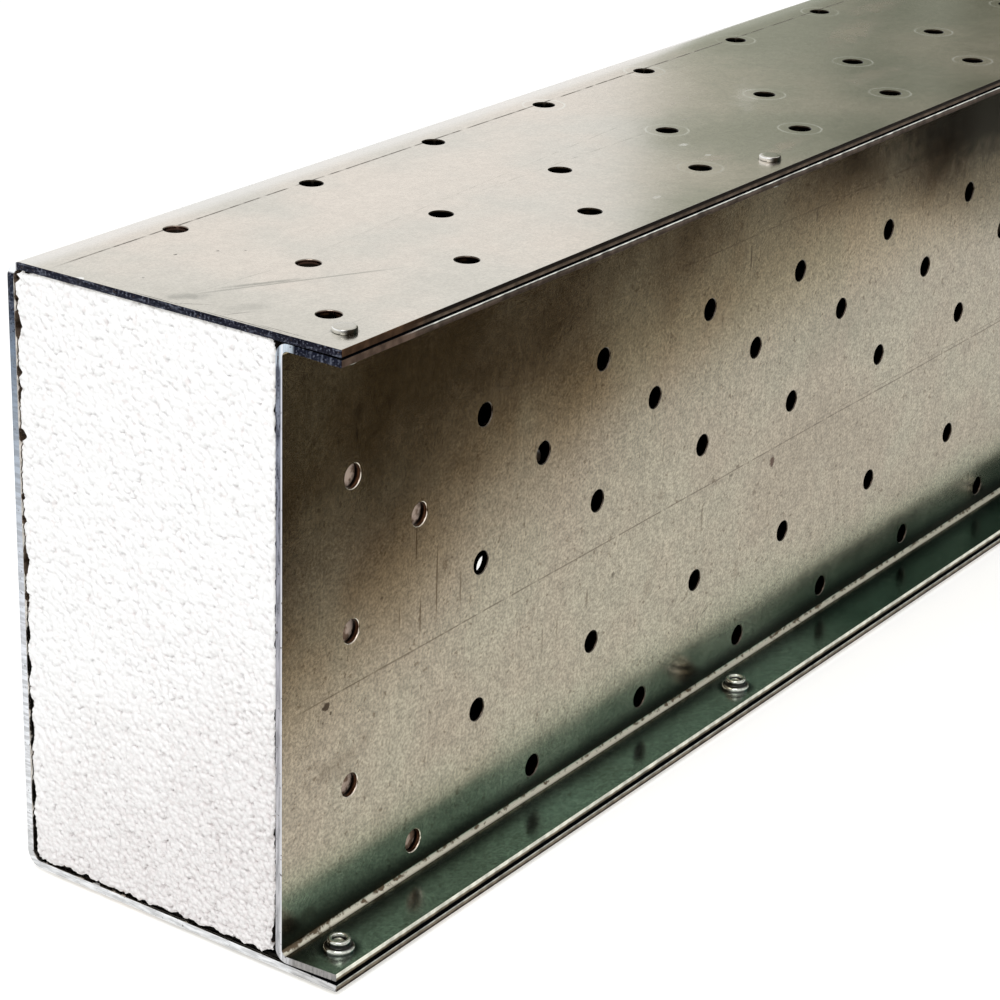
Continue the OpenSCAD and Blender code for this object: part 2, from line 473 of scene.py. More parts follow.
def buildZincGroup():
    tree, given = newTree("zincCoat", "ShaderNodeTree", {
        "Vector": "Vector", "Stretch": (1, 1, 1), "Cloud Scale": 9.0, "Streak Scale": 60.0,
        "Speck Scale": 450.0, "Speck Amount": 0.3, "Grain Scale": 1500.0},
        {"Cloud": "Float", "Streak": "Float", "Speck": "Float", "Grain": "Float"})
    place = given["Vector"]
    stretched = vectorCalc("MULTIPLY", place, given["Stretch"])[0]
    threshold = 0.78 - given["Speck Amount"] * 0.2
    put(tree, "NodeGroupOutput", {
        "Cloud": grain(place, given["Cloud Scale"], 4.0, 0.55),
        "Streak": grain(stretched, given["Streak Scale"], 5.0, 0.6),
        "Speck": ease(grain(place, given["Speck Scale"], 2.0, 0.6), threshold, threshold + 0.09),
        "Grain": grain(place, given["Grain Scale"], 2.0, 0.6)})
    return tree


def buildLineGroup():
    # one scratch along the sheet, broken up along its length
    tree, given = newTree("lineMark", "ShaderNodeTree", {
        "Along": "Float", "Across": "Float", "Start": 0.0, "Stop": 1.0, "Height": 0.0, "Slope": 0.0,
        "Width": 0.0004, "Gaps": 0.4, "Drift": 0.5, "Broken": 0.5}, {"Mask": "Float"})
    along = given["Along"]
    path = calc("MULTIPLY_ADD", along, given["Slope"], given["Height"]) + (given["Drift"] - 0.5) * 0.0008
    away = calc("ABSOLUTE", given["Across"] - path)
    band = ease(away, given["Width"] * 0.25, given["Width"], 1.0, 0.0)
    begun = ease(along, given["Start"], given["Start"] + 0.02)
    ended = ease(along, given["Stop"] - 0.02, given["Stop"], 1.0, 0.0)
    least = given["Gaps"] * 0.8
    solid = put(tree, "ShaderNodeMapRange", {
        "Value": given["Broken"], "From Min": least, "From Max": least + 0.25})[0]
    put(tree, "NodeGroupOutput", {"Mask": band * solid * (begun * ended)})
    return tree


def buildSpotGroup():
    # one blotch with a wandering outline
    tree, given = newTree("spotMark", "ShaderNodeTree", {
        "Place": "Vector", "Centre": "Vector", "Size": (0.01, 0.01, 1.0), "Edge": 0.4, "Wander": 0.6,
        "Rough": 0.5}, {"Mask": "Float"})
    here, middle = (vectorCalc("DIVIDE", given[key], given["Size"])[0] for key in ("Place", "Centre"))
    away = vectorCalc("DISTANCE", here, middle)["Value"]
    reach = calc("MULTIPLY_ADD", given["Rough"], given["Wander"], away)
    put(tree, "NodeGroupOutput", {"Mask": ease(reach, 1.0 - given["Edge"], 1.0, 1.0, 0.0)})
    return tree


def buildBandGroup():
    # 1 where a coordinate lies beyond a plane, such as the cut ends and the sheared edges
    tree, given = newTree("beyondPlane", "ShaderNodeTree", {
        "Value": "Float", "Plane": 0.0, "Soft": 0.0002}, {"Mask": "Float"})
    mask = ease(given["Value"], given["Plane"], given["Plane"] + given["Soft"])
    put(tree, "NodeGroupOutput", {"Mask": mask})
    return tree


zincGroup = buildZincGroup()
lineGroup = buildLineGroup()
spotGroup = buildSpotGroup()
bandGroup = buildBandGroup()


def useGroup(tree, group, inputs):
    return put(tree, "ShaderNodeGroup", inputs, node_tree=group)


def newMaterial(name):
    material = bpy.data.materials.new(name)
    material.use_nodes = True
    return material, material.node_tree, material.node_tree.nodes["Principled BSDF"]


def addMarks(tree, colour, lines, spots, along, across):
    # scratches and blotches, one blotch on the web being a painted dark reflection; those of one tint share a
    # mask, and all of them give the joint one
    joint = {}

    def addMask(tint, mask, strength):
        joint[tint] = calc("MAXIMUM", joint.get(tint, 0.0), mask * strength)

    drift, broken = (put(tree, "ShaderNodeTexNoise", {"W": along, "Scale": scale, "Detail": detail},
                         noise_dimensions="1D")["Fac"] for scale, detail in ((14.0, 2.0), (120.0, 3.0)))
    for tint, rows in lines.items():
        for strength, start, stop, height, slope, width, gaps in rows:
            addMask(tint, useGroup(tree, lineGroup, {
                "Along": along, "Across": across, "Start": start * mm, "Stop": stop * mm,
                "Height": height * mm, "Slope": slope, "Width": width * mm, "Gaps": gaps,
                "Drift": drift, "Broken": broken})["Mask"], strength)
    place = joinXyz(tree, along, across)
    onlyAlong = joinXyz(tree, 0.0, along)
    rough = [calc("MULTIPLY_ADD", grain(place, scale, 3.0, 0.6), 2.0, -1.0) for scale in (1100.0, 160.0)]
    for tint, rows in spots.items():
        for strength, u, v, length, height, edge, wander, *slope in rows:
            lean = slope[0] if slope else 0.0
            leaned = vectorCalc("MULTIPLY_ADD", onlyAlong, (0, -lean, 0), place)[0] if slope else place
            addMask(tint, useGroup(tree, spotGroup, {
                "Place": leaned, "Centre": (u * mm, (v - lean * u) * mm, 0), "Edge": edge,
                "Wander": wander, "Size": (length * mm, height * mm, 1),
                "Rough": rough[0 if length * height < 30 else 1]})["Mask"], strength)
    dirtAndShade = 0.0
    for tint, mask in joint.items():
        colour = blend(mask, colour, tint)
        dirtAndShade = calc("MAXIMUM", dirtAndShade, mask)
    return colour, dirtAndShade


# box section: top plate, back wall and bottom plate in one sheet

boxSheet = dict(
    thickness=2.5 * mm,
    bendRadius=3.2 * mm,  # inside
    edgeRound=0.22 * mm,
    holeDiameter=8.0 * mm,
    holePitch=70 * mm,
    firstHole=58 * mm,
    rowsBehindWeb=(0.7 * mm, 36.7 * mm, 91.9 * mm),
    rowShifts=(35 * mm, 0, 0),
    backFirstHole=50.1 * mm,
    backRows=(23.2 * mm, 58.7 * mm, 113.2 * mm, 141.9 * mm, 165.9 * mm),
    backShifts=(0, -35 * mm, -35 * mm, 0, -35 * mm),
    margin=7 * mm,
)

rivets = dict(
    reach=12.4 * mm,  # in front of the web face
    firstRivet=14 * mm,
    pitch=245 * mm,
    holeDiameter=4.1 * mm,
)

webSheet = dict(
    thickness=2.5 * mm,
    bendRadius=2.0 * mm,
    edgeRound=0.22 * mm,
    flangeLift=3.0,  # degrees
    flangeDrop=1.2,
    holeDiameter=8.0 * mm,
    holePitch=70 * mm,
    firstHole=34.6 * mm,
    rows=(16.8 * mm, 52.3 * mm, 106.8 * mm, 135.5 * mm, 159.5 * mm),
    rowShifts=(35 * mm, 0, 0, 35 * mm, 0),
    strokeColumns=4.0,
    strokeShortfall=4.6 * mm,
    strokeDrop=1.3 * mm,
)

webFaceY = webHigh.y - webSheet["thickness"]
rivetY = webFaceY - rivets["reach"]
firstRivetX = nearEnd + rivets["firstRivet"]
lastRivetX = nearEnd + lintelLength - rivets["firstRivet"]
lastHoleX = nearEnd + lintelLength - boxSheet["margin"]


def overHeight(place):
    return place["Z"] - sheetLow.z


def inUpperHalf(place):
    return calc("GREATER_THAN", place["Z"], (sheetLow.z + sheetHigh.z) / 2)


def fromEnd(place):
    # how far behind the nearer sawn end
    return lintelLength / 2 - calc("ABSOLUTE", place["X"])


def brightness(colour):
    return put(colour.tree, "ShaderNodeRGBToBW", {"Color": colour})[0]


def boxGapShade(place):
    # the box sheet's inner faces: painted dark as shade in the gaps and behind the foam, left lit at the very
    # end
    height = overHeight(place)
    least = calc("MINIMUM", sheetHigh.y - place["Y"], calc("MINIMUM", height, lintelHeight - height))
    inner = calc("GREATER_THAN", least, boxSheet["thickness"] - 0.2 * mm)
    underFlange = ease(place["Y"], webFaceY - 1 * mm, webFaceY + 3 * mm, 1.0, 0.0)
    litHigher = ease(height, 90 * mm, 130 * mm, 0.0, 4 * mm)
    deep = ease(fromEnd(place) - litHigher, 1.2 * mm, 3.6 * mm)
    return inner * calc("MAXIMUM", underFlange, deep)


def webGapShade(place):
    # painted shade: the web's back and the flange faces that lie on the box, darkened in the gap
    normal = splitXyz(surfaceNormal(place.tree))
    middle = place["Z"] - (sheetLow.z + sheetHigh.z) / 2
    outward = calc("GREATER_THAN", normal["Z"] * middle, 0.03)
    back = calc("GREATER_THAN", place["Y"], webHigh.y - 0.2 * mm)
    deep = ease(fromEnd(place), 0.3 * mm, 2.0 * mm)
    inGap = outward * ease(place["Y"], webFaceY - 5 * mm, webFaceY - 3.5 * mm, 1.0, 0.55)
    return calc("MAXIMUM", inGap, back * deep)


def nearestRepeat(along, first, pitch):
    # signed distance to the nearest of many equal steps
    return calc("FLOORED_MODULO", along - (first - pitch / 2), pitch) - pitch / 2


def lengthOf(a, b):
    return calc("SQRT", a * a + b * b)


def fromRivet(place):
    # distance from the nearest rivet's axis
    step = calc("ABSOLUTE", nearestRepeat(place["X"], firstRivetX, rivets["pitch"]))
    last = calc("ABSOLUTE", place["X"] - lastRivetX)
    return lengthOf(calc("MINIMUM", step, last), place["Y"] - rivetY)


def swarfRings(vector, place):
    # pale rubbed rings round the top plate's holes, away from the near end
    least = 1.0
    for behind, shift in zip(boxSheet["rowsBehindWeb"], boxSheet["rowShifts"]):
        step = nearestRepeat(place["X"], nearEnd + boxSheet["firstHole"] + shift, boxSheet["holePitch"])
        least = calc("MINIMUM", least, lengthOf(step, place["Y"] - (webFaceY + behind)))
    patchy = grain(vector, 90.0, 3.0)
    away = calc("MULTIPLY_ADD", patchy - 0.5, 1.6 * mm, least)
    ring = ease(away, 7.5 * mm, 8.0 * mm) * ease(away, 8.1 * mm, 8.7 * mm, 1.0, 0.0)
    ring = ring * ease(patchy, 0.30, 0.55, 0.25, 1.0)
    return ring * ease(place["X"], nearEnd + 0.20, nearEnd + 0.26)


def shearedEdge(vector, place, look):
    # bands over the thickness of the front edges: (height of the underside, stops from below to above); the
    # bands paint dark shadow lines and pale highlight lines around the sheared brown
    uneven = grain(vector, 260.0, 4.0)
    wander = (uneven - 0.5) * 0.22
    low, high = (ramp((overHeight(place) - underside) / boxSheet["thickness"] + wander, stops)
                 for underside, stops in (look["lowEdge"], look["highEdge"]))
    start = ease(place["X"] - nearEnd, 28 * mm, 48 * mm, 1.0, 0.0)
    colour = blend(inUpperHalf(place), low, blend(start, high, look["edgeStart"]))
    return tinted(colour, grey(ease(uneven, 0.3, 0.7, 0.75, 1.25)))


def sawnFace(vector, place, look):
    lines = grain(vectorCalc("MULTIPLY", vector, look["sawStretch"])[0], 900.0, 4.0)
    height = overHeight(place)
    # painted reflection: the sawn ends' colour goes by height, pale grey low down and dark blue-grey to near
    # black towards the top
    colour = ramp((height + (lines - 0.5) * 0.025) / lintelHeight, look["endRamp"])
    # the flanges' ends, in front of the web's bends, painted as reflection: dark on the upper flange and
    # paler on the lower
    onFlange = ease(place["Y"], webFaceY - 5 * mm, webFaceY - 2.5 * mm, 1.0, 0.0)
    upper = inUpperHalf(place)
    colour = blend(onFlange * upper, colour, look["highFlangeEnd"])
    colour = blend(onFlange * (1.0 - upper), colour, look["lowFlangeEnd"])
    colour = tinted(colour, grey(ease(lines, 0.36, 0.64, 0.74, 1.16)))
    if look["sawBack"]:
        # the web's cut end: darker towards its back, with a painted highlight along its front edge
        backHalf = ease(place["Y"], webFaceY + 0.45 * mm, webFaceY + 1.0 * mm)
        dull = backHalf * ease(height, 100 * mm, 160 * mm, 0.25, 1.0) * ease(lines, 0.38, 0.6, 1.0, 0.4)
        colour = blend(dull * look["sawBack"], colour, (0.045, 0.05, 0.075))
        bright = ease(place["Y"], webFaceY + 0.25 * mm, webFaceY + 0.5 * mm, 0.7, 0.0)
        onWall = ease(place["Y"], webFaceY - 0.5 * mm, webFaceY - 0.2 * mm)
        colour = blend(bright * onWall, colour, (0.85, 0.86, 0.90))
    dark = 1.0 - ease(brightness(colour), 0.05, 0.3)
    colour = blend(ease(lines, 0.52, 0.70, 0.0, look["glint"]) * dark, colour, (0.20, 0.23, 0.30))
    crumbs = grain(vector, 1250.0, 2.0)
    colour = blend(ease(crumbs, 0.56, 0.66, 0.0, 0.6) * dark, colour, (0.13, 0.145, 0.19))
    colour = blend(ease(crumbs, 0.36, 0.43, 0.9, 0.0) * dark, colour, (0.002, 0.002, 0.004))
    # the top back bend's end catches the light
    atBack = ease(place["Y"], sheetHigh.y - 4.4 * mm, sheetHigh.y - 3.6 * mm)
    atTop = ease(height, lintelHeight - 4.4 * mm, lintelHeight - 3.6 * mm)
    colour = blend(atBack * atTop, colour, (0.93, 0.95, 0.97))
    specks = grain(vector, 620.0, 2.0)
    return blend(ease(specks, 0.66, 0.70, 0.0, 0.8), colour, (0.06, 0.045, 0.04)), lines


def grownGrain(vector, look):
    # colour of the zinc itself: clouds, grain, mottle and small rust-brown specks
    zinc = useGroup(vector.tree, zincGroup, {
        "Vector": vector, "Stretch": look["stretch"], "Cloud Scale": look["cloudScale"],
        "Streak Scale": look["streakScale"], "Speck Scale": look["speckScale"],
        "Speck Amount": look["speckAmount"], "Grain Scale": look["grainScale"]})
    mottle = grain(vector, look["mottleScale"], 3.0, 0.65)
    tone = 1.0
    for value, least, depth in (
            (zinc["Streak"], 0.3, look["streakDepth"]), (zinc["Grain"], 0.36, look["grainDepth"]),
            (mottle, 0.34, look["mottleDepth"])):
        tone = ease(value, least, 1.0 - least, 1.0 - depth, 1.0 + depth) * tone
    colour = blend(ease(zinc["Cloud"], 0.3, 0.7), look["dark"], look["light"])
    colour = tinted(colour, grey(tone))
    colour = blend(ease(zinc["Cloud"], 0.42, 0.62), colour, tinted(colour, look["cloudTint"]))
    colour = blend(zinc["Speck"] * look["speckStrength"], colour, look["speck"])
    return colour, zinc, mottle


def footAndFlange(place, colour, mottle):
    # the web's foot painted dark as shade above its lower bend, the bend painted pale as a highlight, the
    # flange tinted as painted reflection and the upper web painted a little darker as shade; also gives the
    # bend's mask
    height = overHeight(place)
    fromNear = place["X"] - nearEnd
    # painted shade: the web darkened above its lower bend, higher up near the end
    footLit = ease(height, 8.5 * mm, ease(fromNear, 10 * mm, 90 * mm, 23 * mm, 17 * mm))
    onWeb = ease(place["Y"], webFaceY - 1.6 * mm, webFaceY - 0.4 * mm)
    footLit = 1.0 - onWeb * (1.0 - footLit)
    colour = tinted(colour, blend(footLit, (0.05, 0.035, 0.02), (1, 1, 1)))
    low = ease(height, 10 * mm, 14 * mm, 1.0, 0.0)
    onFlange = low * ease(place["Y"], webFaceY - 4.0 * mm, webFaceY - 2.2 * mm, 1.0, 0.0)
    # painted reflection: the flange tinted greenish, darker beyond 305 mm
    tint = blend(ease(fromNear, 305 * mm, 350 * mm), (1.05, 1.32, 1.55), (0.42, 0.69, 0.74))
    colour = blend(onFlange, colour, tinted(colour, tint))
    # painted shade: the upper web a little darker and warmer under the top flange
    colour = blend(ease(height, 125 * mm, 165 * mm), colour, tinted(colour, (0.98, 0.93, 0.80)))
    normal = splitXyz(surfaceNormal(place.tree))
    steep = -normal["Y"]
    bend = ease(steep * normal["Z"], 0.0, 0.35) * low
    # grime on the bend's upper side, thicker near the end; elsewhere the bend is painted pale as a highlight
    grime = mottle + ease(fromNear, 5 * mm, 90 * mm, 0.09, -0.02) + ease(steep, 0.5, 0.95, -0.03, 0.12)
    colour = blend(bend * 0.9, colour, blend(ease(grime, 0.55, 0.70), (0.72, 0.69, 0.58), (0.16, 0.12, 0.08)))
    beside = ease(place["Y"], webFaceY - 10 * mm, webFaceY - 3 * mm, 0.0, 0.45) * low
    beside = beside * ease(fromNear, 305 * mm, 350 * mm, 1.0, 0.2)
    return colour, calc("MAXIMUM", bend, beside - onWeb)


def steelFinish(name, look, across, gapShade):
    material, tree, shader = newMaterial(name)
    vector = objectPlace(tree)
    place = splitXyz(vector)
    fromNear = place["X"] - nearEnd
    colour, zinc, mottle = grownGrain(vector, look)
    bend = rings = 0.0
    if across == "Y":
        acrossPlace = place["Y"] - webFaceY
        rings = swarfRings(vector, place)
        colour = blend(rings * 0.8, colour, (0.80, 0.79, 0.72))
        # painted highlight: the strip before the back bend is lightened where the bend catches the light
        colour = blend(ease(acrossPlace, 96 * mm, 104 * mm, 0.0, 0.5), colour, (0.90, 0.89, 0.87))
        # how deep behind the sheet's outer skin
        depth = calc("MINIMUM", sheetHigh.y - place["Y"],
                     calc("MINIMUM", overHeight(place), sheetHigh.z - place["Z"]))
    else:
        acrossPlace = overHeight(place)
        colour, bend = footAndFlange(place, colour, mottle)
        depth = place["Y"] - webFaceY
    colour, dirtAndShade = addMarks(tree, colour, look["lines"], look["spots"], fromNear, acrossPlace)
    rivetAway = fromRivet(place)
    # painted contact shadow: dark round each rivet head and collar
    contact = ease(rivetAway, look["contact"][0], look["contact"][1], look["contactDark"], 0.0)
    colour = blend(contact, colour, (0.012, 0.02, 0.017))
    # sheared front edges, punched walls, sawn ends, then the faces that only gaps and holes show, painted
    # near black as shade
    frontEdge = useGroup(tree, bandGroup, {
        "Value": -place["Y"], "Plane": -frontY - 0.3 * mm, "Soft": 0.1 * mm})["Mask"]
    colour = blend(frontEdge, colour, shearedEdge(vector, place, look))
    punched = ease(attribute(tree, "punched"), 0.6, 0.9)
    # the punched walls are painted: a pale highlight on the rolled rim, brown where the foam's light falls
    # near the end, and near black shade deeper in and further along
    wall = blend(ease(depth, 0.10 * mm, 0.32 * mm), look["holeRim"], look["holeBrown"])
    wall = blend(ease(fromNear, 70 * mm, 110 * mm, 1.0, look["farRim"]), (0.02, 0.015, 0.01), wall)
    wall = blend(ease(depth, 0.9 * mm, 1.7 * mm), wall, look["holeWall"])
    colour = blend(punched, colour, wall)
    ends = useGroup(tree, bandGroup, {
        "Value": calc("ABSOLUTE", place["X"]), "Plane": lintelLength / 2 - 0.25 * mm,
        "Soft": 0.1 * mm})["Mask"]
    endColour, sawLines = sawnFace(vector, place, look)
    colour = blend(ends, colour, endColour)
    paintedGapShade = gapShade(place) * (1.0 - calc("MAXIMUM", ends, punched))
    colour = blend(paintedGapShade, colour, (0.005, 0.006, 0.008))
    cut = calc("MAXIMUM", ends, frontEdge)
    # pale cut faces are matt, and dark ones keep a metal's faint gloss
    plain = calc("MAXIMUM", cut * ease(brightness(colour), 0.03, 0.14), rings * 0.3)
    rough = ease(zinc["Cloud"], 0.3, 0.7, look["roughness"] - 0.04, look["roughness"] + 0.05)
    rough = rough + dirtAndShade * look["dirtDull"]
    rough = largest(rough, ease(rivetAway, 8 * mm, 12 * mm, look["contactRough"], 0.0), cut * 0.55,
                    bend * 0.5, paintedGapShade * 0.8)
    waves = grain(vector, 7.0, 1.0)
    if look["fallAway"]:
        # the plate falls away slightly before its back bend
        late = calc("MAXIMUM", place["Y"] - (sheetHigh.y - look["fallAway"]), 0.0)
        waves = calc("MULTIPLY_ADD", late * late, -look["fallRate"] / look["waveHeight"], waves)
    waveBump = put(tree, "ShaderNodeBump", {
        "Height": waves, "Distance": look["waveHeight"], "Strength": 1.0})[0]
    fine = zinc["Grain"] * 0.6 + zinc["Streak"] * look["streakBump"] + sawLines * cut * 8.0
    connect(tree, shader, {
        "Base Color": colour, "Roughness": rough,
        "Metallic": (1.0 - dirtAndShade * look["dirtDull"]) * (1.0 - plain),
        "Normal": put(tree, "ShaderNodeBump", {
            "Height": fine, "Distance": look["bumpHeight"], "Strength": 1.0, "Normal": waveBump})[0]})
    return material


darkBrown, softBrown = (0.05, 0.032, 0.018), (0.13, 0.095, 0.06)
scuffGrey, burrBrown = (0.34, 0.33, 0.29), (0.10, 0.09, 0.075)

# marks, in mm from the near end and across the sheet
# a line: strength, start, stop, place across, slope, width, gaps
# a spot: strength, place along, place across, half length, half height, edge, wander, slope
sheetLook = dict(
    dark=(0.575, 0.545, 0.475), light=(0.70, 0.66, 0.585), stretch=(1.0, 6.0, 6.0),
    cloudScale=13.0, cloudTint=(1.03, 0.985, 0.97), streakScale=22.0, streakDepth=0.015, streakBump=0.6,
    grainScale=1100.0, grainDepth=0.055, mottleScale=230.0, mottleDepth=0.03,
    speckScale=420.0, speckAmount=0.15, speck=(0.36, 0.32, 0.26), speckStrength=0.5,
    holeWall=(0.012, 0.009, 0.007), holeRim=(0.30, 0.27, 0.23), holeBrown=(0.10, 0.055, 0.04), farRim=0.0,
    edgeStart=(0.09, 0.045, 0.02),
    # front edge bands: painted shade and highlight lines, with the sheared brown between
    lowEdge=(0, [(0.0, (0.02, 0.012, 0.007)), (0.3, (0.03, 0.018, 0.01)), (0.42, (0.16, 0.125, 0.075)),
                 (0.7, (0.17, 0.14, 0.095)), (0.84, (0.50, 0.52, 0.47))]),
    highEdge=(212.5 * mm, [(0.0, (0.13, 0.09, 0.06)), (0.45, (0.10, 0.07, 0.045)),
                           (0.58, (0.012, 0.006, 0.003))]),
    sawStretch=(0.2, 0.16, 1.0), glint=0.3, sawBack=None,
    endRamp=[(0.0, (0.76, 0.77, 0.78)), (0.40, (0.72, 0.74, 0.78)), (0.70, (0.36, 0.41, 0.48)),
             (0.87, (0.14, 0.19, 0.26)), (0.92, (0.03, 0.042, 0.07)), (1.0, (0.012, 0.012, 0.022))],
    highFlangeEnd=(0.012, 0.012, 0.022), lowFlangeEnd=(0.56, 0.56, 0.56),
    contact=(3.8 * mm, 4.7 * mm), contactDark=0.5, contactRough=0.0, dirtDull=0.22, roughness=0.20,
    waveHeight=0.0006, bumpHeight=0.000004, fallAway=11 * mm, fallRate=6.0,
    lines={
        (0.10, 0.08, 0.06): [(1.0, 0, 1200, 94.0, 0.0, 0.62, 0.34)],
        scuffGrey: [(0.75, 2, 78, 49.6, -0.52, 0.9, 0.2), (0.5, 4, 50, 48.2, -0.47, 0.5, 0.4),
            (0.4, 3, 60, 45.8, -0.11, 0.5, 0.4), (0.35, 60, 330, 37.6, 0.06, 0.45, 0.5),
            (0.6, 2, 16, 27.2, -0.62, 0.5, 0.3), (0.45, 150, 300, 46.0, -0.02, 0.5, 0.5),
            (0.5, 0, 40, -9.6, 0.0, 0.5, 0.4)],
    },
    spots={
        scuffGrey: [(0.85, 33, 34.5, 17, 2.0, 0.8, 0.5, -0.55), (0.75, 8, 44, 9, 4.5, 0.9, 0.9, -0.7),
            (0.4, 11, 24, 9, 6, 0.9, 0.9, -0.4)],
        burrBrown: [(0.85, 1.0, 16, 0.35, 23, 0.6, 0.8), (0.8, 2.1, 2, 0.3, 12, 0.6, 0.8),
            (0.8, 1.0, 50, 0.35, 13, 0.6, 0.9), (0.7, 4.0, 38, 4.2, 0.5, 0.6, 0.9, -1.6),
            (0.6, 6.0, 22, 5.5, 0.35, 0.6, 0.9, -0.6)],
        (0.05, 0.04, 0.03): [(0.8, 37.5, 74, 0.9, 0.6, 0.5, 0.8), (0.7, 49, 66.5, 0.7, 0.6, 0.5, 0.8),
            (0.7, 13.5, 66, 0.6, 0.5, 0.5, 0.8), (0.6, 55, 60, 0.9, 0.4, 0.5, 0.8)],
        (0.93, 0.92, 0.90): [(0.95, 0.4, 80.2, 1.5, 1.5, 0.3, 0.7)],
        (0.85, 0.84, 0.80): [(0.6, 255, 21.5, 3, 2, 0.7, 0.5), (0.5, 249, 7.4, 2.2, 1.4, 0.7, 0.5),
            (0.4, 192, -7.3, 3, 1.6, 0.7, 0.5)],
        (0.80, 0.79, 0.74): [(0.25, 330, 40, 26, 9, 0.9, 0.9, 0.5)],
        (0.42, 0.34, 0.24): [(0.4, 247, 3.5, 12, 4.5, 0.9, 0.8, -0.3),
            (0.5, 276, -8, 22, 5, 0.9, 0.9, 0.1), (0.38, 395, 20, 26, 9, 0.9, 0.9),
            (0.35, 500, 4, 40, 7, 0.9, 0.9)],
        (0.40, 0.32, 0.22): [(0.42, 455, 62, 46, 11, 0.9, 0.9, 0.2)],
        (0.38, 0.30, 0.21): [(0.45, 505, 78, 30, 9, 0.9, 0.9)],
    },
)

